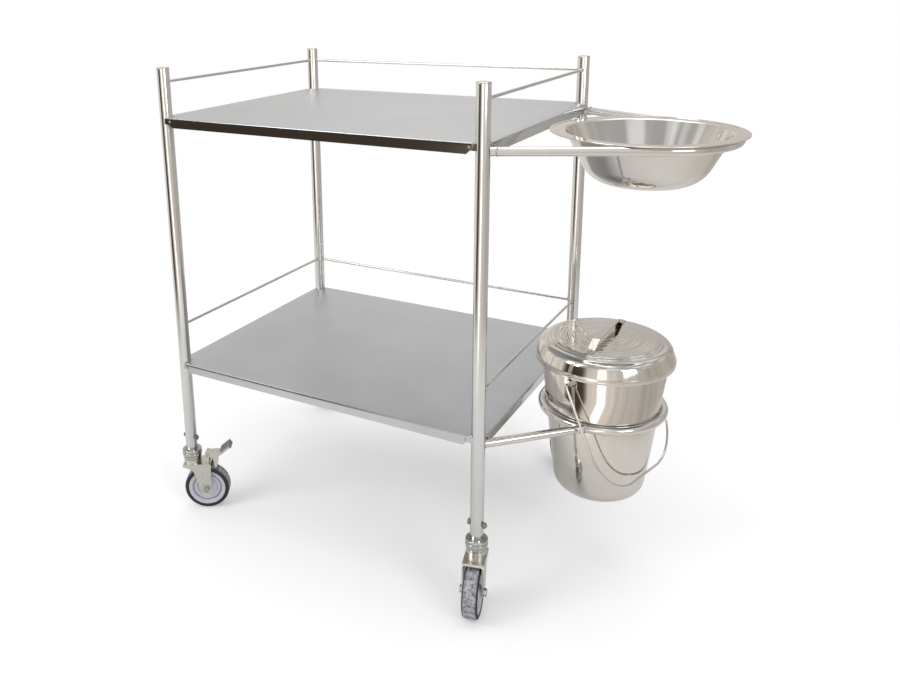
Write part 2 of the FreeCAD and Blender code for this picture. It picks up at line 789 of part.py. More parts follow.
def make_bucket():
    sheet_t = S["vessel_sheet"]
    rim = S["bucket_rim_radius"]
    tall = S["bucket_height"]
    bead = S["bucket_bead"]
    corner = S["bucket_base_round"]
    base = bucket_wall(tall)
    bucket = turned(
        "Bucket",
        [
            (0, -tall),
            (base, -tall, corner),
            (bucket_wall(bead * 2), -bead * 2),
            (rim + bead, -bead * 2, bead * 0.95),
            (rim + bead, 0, bead * 0.95),
            (rim - sheet_t, 0),
            (base - sheet_t, sheet_t - tall, corner - sheet_t),
            (0, sheet_t - tall),
        ],
    )
    place(bucket, bucket_x, 0, rim_z)
    node(bucket, "bucket")


def make_ears():
    """Two pads on the bucket wall, each with a boss that is bored for the bail's hook."""
    wall = bucket_wall(S["ear_drop"])
    out = wall + S["ear_length"]
    tip = new_body("EarBoss")
    disc = new_sketch(tip, "YZ_Plane")
    draw_circle(disc, S["ear_radius"])
    pad(tip, disc, out)
    pad_body = new_body("EarPad")
    outline = new_sketch(pad_body, "YZ_Plane")
    half_wide = S["ear_plate"] / 2
    half_tall = S["ear_radius"] + 1
    corner = half_tall * 0.6
    draw_outline(
        outline,
        [
            (-half_wide, -half_tall, corner),
            (half_wide, -half_tall, corner),
            (half_wide, half_tall, corner),
            (-half_wide, half_tall, corner),
        ],
    )
    pad(pad_body, outline, wall + 1)
    one = fused("EarBlock", [tip, pad_body])
    bore = cylinder("EarBore", S["bail_wire"] / 2 + S["pin_clearance"], out * 2)
    bore.Placement = Placement(Vector(wall.value, 0, 0), Rotation(Vector(0, 1, 0), 90))
    bind(bore, "Placement.Base.x", wall + 0.5)
    bored = cut("EarBored", one, bore)
    mirrored = doc.addObject("Part::Mirroring", "EarOpposite")
    mirrored.Source = bored
    mirrored.Base = Vector(0, 0, 0)
    mirrored.Normal = Vector(1, 0, 0)
    pair = doc.addObject("Part::Compound", "EarPair")
    pair.Links = [bored, mirrored]
    place(pair, bucket_x, 0, ear_z, turn=S["ear_azimuth"])
    inside = doc.addObject("Part::Cone", "BucketEnvelope")
    bind(inside, "Radius1", bucket_wall(S["bucket_height"]))
    bind(inside, "Radius2", S["bucket_rim_radius"])
    bind(inside, "Height", S["bucket_height"])
    place(inside, bucket_x, 0, rim_z - S["bucket_height"])
    node(cut("EarsFitted", pair, inside), "bucket_ears")


# Bail: a wire bow that hangs at the front right of the bucket
def make_bail():
    half = S["bail_span"] / 2
    deep = -S["bail_depth"]
    hook = bucket_wall(S["ear_drop"]) + 1.5
    body = new_body("Bail")
    path = new_sketch(body, "XZ_Plane")
    tilt = S["bail_tilt"]
    path.AttachmentOffset = Placement(Vector(), Rotation(Vector(1, 0, 0), tilt.value))
    bind(path, "AttachmentOffset.Rotation.Angle", tilt)
    corner = S["bail_round"]
    bend = S["bail_hook_round"]
    draw_outline(
        path,
        [
            (-hook, 0),
            (-half, 0, bend),
            (-half, deep, corner),
            (half, deep, corner),
            (half, 0, bend),
            (hook, 0),
        ],
        closed=False,
    )
    sweep_along(body, path, S["bail_wire"] / 2)
    place(body, bucket_x, 0, ear_z, turn=S["ear_azimuth"])
    node(body, "bail")


# Lid with its strap handle
def make_lid():
    sheet_t = S["vessel_sheet"]
    rim = S["lid_radius"]
    edge = S["lid_edge_rise"]
    shoulder = S["lid_shoulder_radius"]
    bend = S["lid_shoulder_round"]
    rise = S["lid_rise"]
    step = S["lid_step"]
    outer = S["lid_step_radius"]
    inner = S["lid_centre_radius"]
    lid = turned(
        "Lid",
        [
            (0, rise + step * 2),
            (inner, rise + step * 2),
            (inner + step, rise + step),
            (outer, rise + step),
            (outer + step, rise),
            (shoulder, rise, bend),
            (rim, edge, bend / 2),
            (rim, -S["lid_skirt"]),
            (rim - sheet_t, -S["lid_skirt"]),
            (rim - sheet_t, 0),
            (S["lid_seat_radius"], 0),
            (S["lid_seat_radius"], sheet_t),
            (rim - sheet_t, sheet_t),
            (rim - sheet_t, edge - sheet_t / 4),
            (shoulder - sheet_t, rise - sheet_t, bend - sheet_t),
            (outer + step - sheet_t, rise - sheet_t),
            (outer - sheet_t, rise + step - sheet_t),
            (inner + step - sheet_t, rise + step - sheet_t),
            (inner - sheet_t, rise + step * 2 - sheet_t),
            (0, rise + step * 2 - sheet_t),
        ],
    )
    place(lid, bucket_x, 0, rim_z + S["seat_gap"])
    node(lid, "lid")


def make_lid_handle():
    strap = S["lid_handle_strap"]
    half = S["lid_handle_span"] / 2
    tall = S["lid_handle_height"]
    foot = S["lid_handle_foot"]
    bend = S["lid_handle_bend"]
    crest = half - S["lid_handle_run"]
    slip = strap * (tall - strap) / (S["lid_handle_run"] * 2)
    handle = plate(
        "LidHandle",
        [
            (-half - foot, 0),
            (-half, 0, bend + strap),
            (-crest, tall - strap, bend),
            (crest, tall - strap, bend),
            (half, 0, bend + strap),
            (half + foot, 0),
            (half + foot, strap),
            (half + slip, strap, bend),
            (crest + slip, tall, bend + strap),
            (-crest - slip, tall, bend + strap),
            (-half - slip, strap, bend),
            (-half - foot, strap),
        ],
        S["lid_handle_width"],
    )
    place(handle, bucket_x, 0, lid_top, turn=S["lid_handle_azimuth"])
    node(handle, "lid_handle")
    spots = []
    turn = Rotation(UP, S["lid_handle_azimuth"].value)
    centre = Vector(bucket_x.value, 0, lid_top.value + strap.value)
    for side in (-1, 1):
        arm = Vector((half.value + foot.value * 0.55) * side, 0, 0)
        spots.append(Placement(centre + turn.multVec(arm), Rotation()))
    repeated("lid_rivets", make_lid_rivet(), spots)


def make_lid_rivet():
    """A low round head on a handle foot."""
    head = S["lid_handle_width"] * 0.3
    return turned(
        "LidRivet", [(0, 0), (head, 0), (head, head * 0.5, head * 0.45), (0, head * 0.5)]
    )


# Castor stems and cross bolts, fixed to the legs
def make_stems():
    stem = tube_bore - S["plug_clearance"]
    king = S["king_pin"] + S["running_clearance"]
    foot = S["leg_foot"]
    top = foot + S["stem_length"]
    rim = foot + S["cup_lip"]
    cup = S["cup_radius"]
    neck = S["race_radius"] + 1
    groove = cup_under + S["cup_height"] * 0.4
    hollow = cup_under + S["king_length"] + 2
    for name, side_x, side_y, _ in CORNERS:
        body = turned(
            "Stem",
            [
                (king, cup_under),
                (neck, cup_under, 1.5),
                (neck, groove),
                (cup, groove, 1),
                (cup, rim, 1.8),
                (tube_radius + S["pin_clearance"], rim),
                (tube_radius + S["pin_clearance"], foot),
                (stem, foot),
                (stem, top, 2),
                (0, top),
                (0, hollow),
                (king, hollow),
            ],
        )
        hole = new_sketch(body, "YZ_Plane")
        draw_circle(hole, S["cross_bolt"] + S["pin_clearance"], 0, bolt_z)
        pocket(body, hole)
        place(body, leg_x * side_x, leg_y * side_y, 0)
        node(body, f"stem_{name}")


def make_cross_bolts():
    """A bolt along +X through each leg and stem, with a hexagon nut at its outer end."""
    start = tube_radius + S["cross_head"] / 2
    end = tube_radius + S["cross_head"] + 2
    shank = rod("CrossShank", S["cross_bolt"], start + end)
    place(shank, -start, 0, 0)
    head = new_body("CrossHead")
    face = new_sketch(head, "YZ_Plane", -tube_radius - S["cross_head"])
    hexagon(face, S["cross_bolt"] * 3.4)
    pad(head, face, S["cross_head"])
    bolt = fused("CrossBolt", [shank, head])
    spots = corner_spots(bolt_z)
    repeated("cross_bolts", bolt, spots)
    body = new_body("CrossNut")
    ring = new_sketch(body, "YZ_Plane", tube_radius)
    hexagon(ring, S["cross_bolt"] * 3.4)
    draw_circle(ring, S["cross_bolt"])
    pad(body, ring, S["cross_head"])
    repeated("cross_nuts", body, spots)


# Castors, modelled with the swivel axis at the origin and the wheel trailing along +X
def make_fork(braked):
    trail = S["castor_trail"]
    back = -S["race_radius"] * 1.05
    front = trail + S["race_radius"] * 0.7
    swell = S["wheel_room"] * 1.3
    cheek = S["axle_radius"] * 2.7
    low = wheel_radius - cheek
    round_end = cheek * 0.98
    body = plate(
        "Fork",
        [
            (back, crown_top, S["fork_sheet"]),
            (front, crown_top, S["fork_sheet"] * 1.8),
            (trail + cheek, low, round_end),
            (trail - cheek, low, round_end),
            (swell * 0.2, crown_under - swell, swell),
            (back, crown_under - swell * 0.3, S["fork_sheet"]),
        ],
        cheek_outside * 2,
    )
    slot = new_sketch(body, "YZ_Plane")
    draw_outline(
        slot,
        [
            (-cheek_inside, 0),
            (cheek_inside, 0),
            (cheek_inside, crown_under),
            (-cheek_inside, crown_under),
        ],
    )
    pocket(body, slot)
    hole = new_sketch(body, "XZ_Plane")
    draw_circle(hole, S["axle_radius"], trail, wheel_radius)
    pocket(body, hole)
    race = new_sketch(body, "XY_Plane", crown_top)
    draw_circle(race, S["race_radius"])
    pad(body, race, cup_under - S["race_gap"] - crown_top)
    king = new_sketch(body, "XY_Plane", crown_top)
    draw_circle(king, S["king_pin"])
    pad(body, king, cup_under + S["king_length"] - crown_top)
    if braked:
        return fused("ForkWithEars", [body, make_brake_ears()])
    return body


def make_brake_ears():
    """Two small ears on the fork crown that carry the brake pin."""
    ear = S["brake_pin"] * 2
    ears = plate(
        "BrakeEars",
        [
            (pivot_x - ear - 1, crown_top - 1),
            (pivot_x + ear - 1, crown_top - 1),
            (pivot_x + ear, pivot_z + ear, ear * 0.9),
            (pivot_x - ear, pivot_z + ear, ear * 0.9),
        ],
        (ear_inside + S["fork_sheet"]) * 2,
    )
    gap = new_sketch(ears, "YZ_Plane")
    draw_outline(
        gap,
        [
            (-ear_inside, crown_top - 2),
            (ear_inside, crown_top - 2),
            (ear_inside, pivot_z + ear * 2),
            (-ear_inside, pivot_z + ear * 2),
        ],
    )
    pocket(ears, gap)
    hole = new_sketch(ears, "XZ_Plane")
    draw_circle(hole, S["brake_pin"], pivot_x, pivot_z)
    pocket(ears, hole)
    return ears


def make_axle(braked):
    """Wheel axle bolt with its nut, and the brake pin where there is a brake."""
    shank = new_body("AxleShank")
    disc = new_sketch(shank, "XZ_Plane")
    draw_circle(disc, S["axle_radius"], S["castor_trail"], wheel_radius)
    pad(shank, disc, cheek_outside * 2, midplane=True)
    pieces = [shank]
    for offset in (-cheek_outside - S["axle_head"], cheek_outside):
        head = new_body("AxleHead")
        face = new_sketch(head, "XZ_Plane", offset)
        hexagon(face, S["axle_radius"] * 3.2)
        pad(head, face, S["axle_head"])
        place(head, S["castor_trail"], 0, wheel_radius)
        pieces.append(head)
    axle = fused("Axle", pieces)
    if not braked:
        return axle
    pin = new_body("BrakePin")
    disc = new_sketch(pin, "XZ_Plane")
    draw_circle(disc, S["brake_pin"], pivot_x, pivot_z)
    pad(pin, disc, (ear_inside + S["fork_sheet"] + 1) * 2, midplane=True)
    both = doc.addObject("Part::Compound", "AxleAndPin")
    both.Links = [axle, pin]
    return both


def make_wheel():
    """Wheel centre: hub, web with a raised ring, and rim, turned about the axle."""
    rim = wheel_radius - S["tyre_depth"]
    side = S["wheel_width"] / 2 - S["rim_inset"]
    web = side - S["web_inset"]
    step = S["web_inset"] / 3
    hub = S["hub_radius"]
    bore = S["axle_radius"] + S["running_clearance"]
    boss = S["axle_radius"] * 2.2
    hub_end = cheek_inside - S["seat_gap"]
    ridge = (rim + hub) / 2
    half = [
        (bore, hub_end),
        (boss, hub_end),
        (boss, side),
        (hub, side),
        (hub + step, web),
        (ridge - step * 1.4, web),
        (ridge - step * 0.7, web + step),
        (ridge + step * 0.7, web + step),
        (ridge + step * 1.4, web),
        (rim - step * 3.4, web),
        (rim - step * 2.7, side),
        (rim, side),
    ]
    mirrored = [(across, -along) for across, along in reversed(half)]
    return turned("WheelCentre", half + mirrored, role="XY_Plane")


def make_tyre():
    rim = wheel_radius - S["tyre_depth"]
    side = S["wheel_width"] / 2
    shoulder = S["tyre_depth"] * 0.7
    lip = S["tyre_depth"] / 9
    return turned(
        "Tyre",
        [
            (rim, -side + lip),
            (rim + lip, -side),
            (wheel_radius, -side, shoulder),
            (wheel_radius, side, shoulder),
            (rim + lip, side),
            (rim, side - lip),
        ],
        role="XY_Plane",
    )


def on_pedal_arm(along, above):
    """A point beside the lever's raised arm: along it from the elbow, and above its middle."""
    run = S["pedal_run"]
    climb = S["pedal_climb"]
    arm = root(run * run + climb * climb)
    x = elbow_x + (run * along - climb * above) / arm
    z = elbow_z + (climb * along + run * above) / arm
    return x, z


def make_brake_lever():
    """Lever with a boss round its pin, a shoe over the tyre and a raised arm for the pedal."""
    boss = S["brake_pin"] + 2.6
    half = S["lever_sheet"] / 2
    reach = wheel_radius + S["brake_shoe_gap"]
    slope = math.hypot(9, 20)
    shoe_x = S["castor_trail"] + reach * (9 / slope)
    shoe_z = wheel_radius + reach * (20 / slope)
    lever = plate(
        "BrakeLever",
        [
            (pivot_x - boss, pivot_z - boss, 3),
            (pivot_x + boss * 2.4, pivot_z - boss, 2),
            (shoe_x - 2, shoe_z, 1),
            (shoe_x + 2.5, shoe_z, 1),
            (shoe_x + 5, pivot_z - boss + 1, 4),
            (*on_pedal_arm(0, -half), 4),
            on_pedal_arm(S["pedal_length"], -half),
            on_pedal_arm(S["pedal_length"], half),
            (*on_pedal_arm(0, half), 4),
            (pivot_x + boss, pivot_z + boss, 4),
            (pivot_x - boss, pivot_z + boss, 3),
        ],
        S["brake_width"],
    )
    hole = new_sketch(lever, "XZ_Plane")
    draw_circle(hole, S["brake_pin"] + S["running_clearance"], pivot_x, pivot_z)
    pocket(lever, hole)
    return lever


def make_pedal():
    """Ribbed tread that lies on the raised arm and turns down over its end."""
    low = S["lever_sheet"] / 2
    length = S["pedal_length"]
    valley = low + S["tread"] * 0.65
    top = low + S["tread"]
    start = length * 0.12
    pitch = (length + 3 - start) / 9
    ribs = []
    for i in range(9):
        height = top if i % 2 == 0 else valley
        from_end = length + 3 - pitch * i
        ribs += [on_pedal_arm(from_end, height), on_pedal_arm(from_end - pitch, height)]
    corners = [
        on_pedal_arm(start, low),
        on_pedal_arm(length, low),
        on_pedal_arm(length, -low - 1),
        on_pedal_arm(length + 3, -low - 1),
    ]
    return plate("Pedal", corners + ribs, S["pedal_width"])


def make_castors():
    for name, side_x, side_y, braked in CORNERS:
        x = leg_x * side_x
        y = leg_y * side_y
        turn = S[f"swivel_{name}"]
        wheel_x = x + S["castor_trail"] * cosine(turn)
        wheel_y = y + S["castor_trail"] * sine(turn)
        pieces = [
            ("fork", make_fork(braked), (x, y, 0)),
            ("axle", make_axle(braked), (x, y, 0)),
            ("wheel", make_wheel(), (wheel_x, wheel_y, wheel_radius)),
            ("tyre", make_tyre(), (wheel_x, wheel_y, wheel_radius)),
        ]
        if braked:
            pieces += [
                ("brake_lever", make_brake_lever(), (x, y, 0)),
                ("brake_pedal", make_pedal(), (x, y, 0)),
            ]
        for piece, solid, spot in pieces:
            place(solid, *spot, turn=turn)
            node(solid, f"{piece}_{name}")


def check_and_export():
    doc.recompute()
    for item in doc.Objects:
        if "Invalid" in item.State or "Error" in item.State:
            raise RuntimeError(f"{item.Label} did not recompute: {item.State}")
    os.makedirs("parts", exist_ok=True)
    for label, item in nodes.items():
        shape = item.Shape
        if shape.isNull() or not shape.isValid() or not shape.Solids:
            raise RuntimeError(f"{label} has no valid solid")
        shape.exportStep(f"parts/{label}.step")
        box = shape.BoundBox
        print(
            f"{label:28s} {len(shape.Solids):3d} solids"
            f"  x {box.XMin:7.1f} {box.XMax:7.1f}"
            f"  y {box.YMin:7.1f} {box.YMax:7.1f}"
            f"  z {box.ZMin:7.1f} {box.ZMax:7.1f}"
        )


leg_envelope = make_legs()
make_leg_caps()
edge_cutters = shelf_cutters()
for level, shelf_top in (("upper", upper_top), ("lower", S["lower_shelf_top"])):
    make_shelf(f"{level}_shelf", shelf_top, edge_cutters)
    make_tabs(f"{level}_shelf_tabs", shelf_top, leg_envelope, edge_cutters)
make_shelf_rivets()
make_rails(leg_envelope)
make_bowl_hoop(leg_envelope)
make_bucket_ring(leg_envelope)
make_bowl()
make_bucket()
make_ears()
make_bail()
make_lid()
make_lid_handle()
make_stems()
make_cross_bolts()
make_castors()
check_and_export()
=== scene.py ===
"""The looks of a dressing trolley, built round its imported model.

Every piece is in metres in the model's own frame: X to the right along the open front edge, Y to the
railed rear edge, Z up from the floor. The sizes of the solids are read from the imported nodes' boxes, and
the finer sizes that only the looks have are the fields of each sub-assembly's class.
"""

import logging
import math
from dataclasses import dataclass
from enum import Enum
from typing import Callable, Sequence

import bmesh
import bpy
from mathutils import Matrix, Vector


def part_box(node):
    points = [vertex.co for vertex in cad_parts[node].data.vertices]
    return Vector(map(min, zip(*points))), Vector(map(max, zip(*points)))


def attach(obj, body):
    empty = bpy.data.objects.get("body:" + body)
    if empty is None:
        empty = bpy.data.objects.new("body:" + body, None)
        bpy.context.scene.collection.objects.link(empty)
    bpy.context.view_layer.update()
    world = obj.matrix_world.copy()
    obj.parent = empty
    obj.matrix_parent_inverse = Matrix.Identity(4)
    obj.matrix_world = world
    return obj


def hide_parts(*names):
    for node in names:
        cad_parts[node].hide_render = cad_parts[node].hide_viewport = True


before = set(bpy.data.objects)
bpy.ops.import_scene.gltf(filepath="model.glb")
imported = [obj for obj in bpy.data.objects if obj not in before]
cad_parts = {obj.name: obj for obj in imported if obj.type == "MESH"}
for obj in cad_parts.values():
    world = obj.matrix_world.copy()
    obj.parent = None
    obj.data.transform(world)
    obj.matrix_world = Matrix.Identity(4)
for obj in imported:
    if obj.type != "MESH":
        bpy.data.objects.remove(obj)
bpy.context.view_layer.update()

LOG = logging.getLogger("dressing_trolley")
MM = 0.001
LINE_LENGTH = 120
UP = Vector((0, 0, 1))
Point = Sequence[float]
Tree = bpy.types.NodeTree
Socket = bpy.types.NodeSocket


def linear(code: str) -> tuple[float, float, float, float]:
    """Turn an sRGB hex value into the linear colour that a shader takes.

    Args:
        code: six hex digits, such as "C8C6C2".

    Returns:
        Red, green, blue and alpha.
    """
    parts = [int(code[i : i + 2], 16) / 255 for i in (0, 2, 4)]
    curve = [c / 12.92 if c <= 0.04045 else ((c + 0.055) / 1.055) ** 2.4 for c in parts]
    return (*curve, 1.0)


def add_node(
    tree: Tree,
    kind: str,
    settings: dict | None = None,
    links: dict | None = None,
) -> bpy.types.Node:
    """Add one shader node.

    Args:
        tree: the node tree.
        kind: the node's type name.
        settings: values by name; a lower-case name is a property, any other an input socket.
        links: source sockets by input name or number.

    Returns:
        The new node.
    """
    made = tree.nodes.new(kind)
    for name, value in (settings or {}).items():
        if isinstance(name, str) and name[0].islower():
            setattr(made, name, value)
        else:
            made.inputs[name].default_value = value
    for name, source in (links or {}).items():
        tree.links.new(source, made.inputs[name])
    return made


def add_object(name: str, data: bpy.types.ID) -> bpy.types.Object:
    """Put a mesh, lamp or camera into the scene.

    Args:
        name: the object's name.
        data: what it shows.

    Returns:
        The object.
    """
    made = bpy.data.objects.new(name, data)
    bpy.context.scene.collection.objects.link(made)
    return made


def add_material(name: str) -> tuple[bpy.types.Material, Tree, bpy.types.Node]:
    """Make an empty node material.

    Args:
        name: the material's name.

    Returns:
        The material, its node tree and its shader.
    """
    made = bpy.data.materials.new(name)
    made.use_nodes = True
    return made, made.node_tree, made.node_tree.nodes["Principled BSDF"]


def noise(tree: Tree, spot: Socket, scale: float, detail: float, roughness: float) -> Socket:
    """The value of a noise texture at a spot."""
    settings = {"Scale": scale, "Detail": detail, "Roughness": roughness}
    return add_node(tree, "ShaderNodeTexNoise", settings, {"Vector": spot}).outputs["Fac"]


def fit(tree: Tree, value: Socket, old: Point, new: Point = (0.0, 1.0), kind: str = "LINEAR") -> Socket:
    """Fit one range of a value, given as (low, high), to a new one."""
    settings = {"interpolation_type": kind, 1: old[0], 2: old[1], 3: new[0], 4: new[1]}
    return add_node(tree, "ShaderNodeMapRange", settings, {0: value}).outputs[0]


def ease(tree: Tree, value: Socket, old: Point, new: Point = (0.0, 1.0)) -> Socket:
    """Fit one range of a value to a new one, with soft ends."""
    return fit(tree, value, old, new, "SMOOTHSTEP")


def calculate(tree: Tree, operation: str, first: Socket, second: Socket | None = None) -> Socket:
    """Work one value out of one or two others."""
    values = {0: first} if second is None else {0: first, 1: second}
    return add_node(tree, "ShaderNodeMath", {"operation": operation}, values).outputs[0]


def stretch(tree: Tree, spot: Socket, factors: Point) -> Socket:
    """Multiply each axis of a vector by a factor of its own."""
    settings = {"operation": "MULTIPLY", 1: factors}
    return add_node(tree, "ShaderNodeVectorMath", settings, {0: spot}).outputs[0]


def reach_of(tree: Tree, spot: Socket) -> Socket:
    """The length of a vector."""
    return add_node(tree, "ShaderNodeVectorMath", {"operation": "LENGTH"}, {0: spot}).outputs["Value"]


def toward(tree: Tree, way: Socket, side: Point) -> Socket:
    """The cosine of the angle between a direction and a side."""
    settings = {"operation": "DOT_PRODUCT", 1: side}
    return add_node(tree, "ShaderNodeVectorMath", settings, {0: way}).outputs["Value"]


def height_of(tree: Tree, spot: Socket) -> Socket:
    """The Z of a vector."""
    return add_node(tree, "ShaderNodeSeparateXYZ", {}, {0: spot}).outputs[2]


def choose(tree: Tree, amount: Socket, first: bpy.types.Node, second: bpy.types.Node) -> bpy.types.Node:
    """Go from one shader to another as the amount goes from 0 to 1."""
    shaders = {0: amount, 1: first.outputs[0], 2: second.outputs[0]}
    return add_node(tree, "ShaderNodeMixShader", {}, shaders)


def blend(tree: Tree, amount: Socket, first: Socket | str, second: Socket | str) -> Socket:
    """Blend two colours, each a hex value or a socket.

    Args:
        tree: the node tree.
        amount: how much there is of the second.
        first: the first colour.
        second: the second colour.

    Returns:
        The blended colour.
    """
    made = add_node(tree, "ShaderNodeMix", {"data_type": "RGBA"}, {0: amount})
    for place, colour in ((6, first), (7, second)):
        if isinstance(colour, str):
            made.inputs[place].default_value = linear(colour)
        else:
            tree.links.new(colour, made.inputs[place])
    return made.outputs[2]


def emboss(tree: Tree, shader: bpy.types.Node, height: Socket, depth: float) -> None:
    """Let a pattern stand out of a surface.

    Args:
        tree: the node tree.
        shader: the surface's shader.
        height: the pattern.
        depth: how far it stands out, in millimetres.
    """
    settings = {"Strength": 1.0, "Distance": depth * MM}
    relief = add_node(tree, "ShaderNodeBump", settings, {"Height": height})
    tree.links.new(relief.outputs[0], shader.inputs["Normal"])


class Grain(Enum):
    """How the working of a surface left its fine lines."""

    SPUN = "rings about the piece's own upright axis"
    DEEP = "lines along Y"
    UPRIGHT = "lines along Z"
    BUFFED = "no direction"


@dataclass(frozen=True)
class Metal:
    """A bare metal surface with the marks of its polishing."""

    name: str
    colour: str
    shade: str
    roughness: float
    grain: Grain
    line_mm: float
    bump_mm: float
    patch_mm: float = 70.0
    uneven: float = 0.05
    edge_roughness: float = 0.0

    def line_vector(self, tree: Tree, spot: Socket) -> Socket:
        """Coordinates that repeat once per line of the grain.

        Args:
            tree: the material's node tree.
            spot: object coordinates in metres.

        Returns:
            The socket to feed a noise texture.
        """
        fine = 1 / (self.line_mm * MM)
        if self.grain is Grain.SPUN:
            reach = reach_of(tree, stretch(tree, spot, (1, 1, 0)))
            along = calculate(tree, "ADD", height_of(tree, spot), reach)
            line = add_node(tree, "ShaderNodeCombineXYZ", {}, {0: along}).outputs[0]
            return stretch(tree, line, (fine, 0, 0))
        factors = {
            Grain.DEEP: (fine, fine / LINE_LENGTH, fine),
            Grain.UPRIGHT: (fine, fine, fine / LINE_LENGTH),
            Grain.BUFFED: (fine, fine, fine),
        }[self.grain]
        return stretch(tree, spot, factors)

    def bright_edges(self, tree: Tree, flat: Socket) -> Socket:
        """Polish what stands upright, as a buffing wheel does along a tray's turned-down edge.

        Args:
            tree: the material's node tree.
            flat: the roughness of the level faces.

        Returns:
            The roughness of both.
        """
        normal = add_node(tree, "ShaderNodeNewGeometry").outputs["Normal"]
        level = calculate(tree, "ABSOLUTE", height_of(tree, normal))
        settings = {"data_type": "FLOAT", 2: self.edge_roughness}
        return add_node(tree, "ShaderNodeMix", settings, {0: level, 3: flat}).outputs[0]

    def build(self) -> bpy.types.Material:
        """Make the material.

        Returns:
            The node material.
        """
        material, tree, shader = add_material(self.name)
        shader.inputs["Metallic"].default_value = 1.0
        spot = add_node(tree, "ShaderNodeTexCoord").outputs["Object"]
        lines = noise(tree, self.line_vector(tree, spot), 1.0, 3.0, 0.65)
        patches = noise(tree, spot, 1 / (self.patch_mm * MM), 4.0, 0.6)
        colour = blend(tree, patches, self.colour, self.shade)
        tree.links.new(colour, shader.inputs["Base Color"])
        limits = (self.roughness - self.uneven, self.roughness + self.uneven)
        gloss = fit(tree, calculate(tree, "ADD", lines, patches), (0.5, 1.5), limits)
        if self.edge_roughness:
            gloss = self.bright_edges(tree, gloss)
        tree.links.new(gloss, shader.inputs["Roughness"])
        emboss(tree, shader, lines, self.bump_mm)
        return material


@dataclass(frozen=True)
class Moulding:
    """A moulded plastic or rubber, with dust where it has rolled on the floor."""

    name: str
    colour: str
    shade: str
    roughness: float
    grain_mm: float
    bump_mm: float
    dust: str = ""
    dust_from_mm: float = 0.0
    dust_edge_mm: float = 1.5
    patch_mm: float = 7.0
    uneven: float = 0.06

    def build(self) -> bpy.types.Material:
        """Make the material.

        Returns:
            The node material.
        """
        material, tree, shader = add_material(self.name)
        spot = add_node(tree, "ShaderNodeTexCoord").outputs["Object"]
        grain = noise(tree, spot, 1 / (self.grain_mm * MM), 3.0, 0.6)
        patches = noise(tree, spot, 1 / (self.patch_mm * MM), 6.0, 0.72)
        colour = blend(tree, patches, self.colour, self.shade)
        if self.dust:
            colour = self.dusted(tree, spot, patches, colour)
        tree.links.new(colour, shader.inputs["Base Color"])
        limits = (self.roughness - self.uneven, self.roughness + self.uneven)
        tree.links.new(fit(tree, patches, (0.3, 0.7), limits), shader.inputs["Roughness"])
        emboss(tree, shader, grain, self.bump_mm)
        return material

    def dusted(self, tree: Tree, spot: Socket, patches: Socket, colour: Socket) -> Socket:
        """Lay dust on what is further from the axle than dust_from_mm.

        Args:
            tree: the material's node tree.
            spot: object coordinates, with the axle along Y at the origin.
            patches: a noise that breaks the dust up.
            colour: the clean colour.

        Returns:
            The dusty colour.
        """
        reach = reach_of(tree, stretch(tree, spot, (1, 0, 1)))
        edge = (self.dust_from_mm * MM, (self.dust_from_mm + self.dust_edge_mm) * MM)
        amount = calculate(tree, "MULTIPLY", fit(tree, reach, edge), fit(tree, patches, (0.33, 0.62)))
        return blend(tree, amount, colour, self.dust)


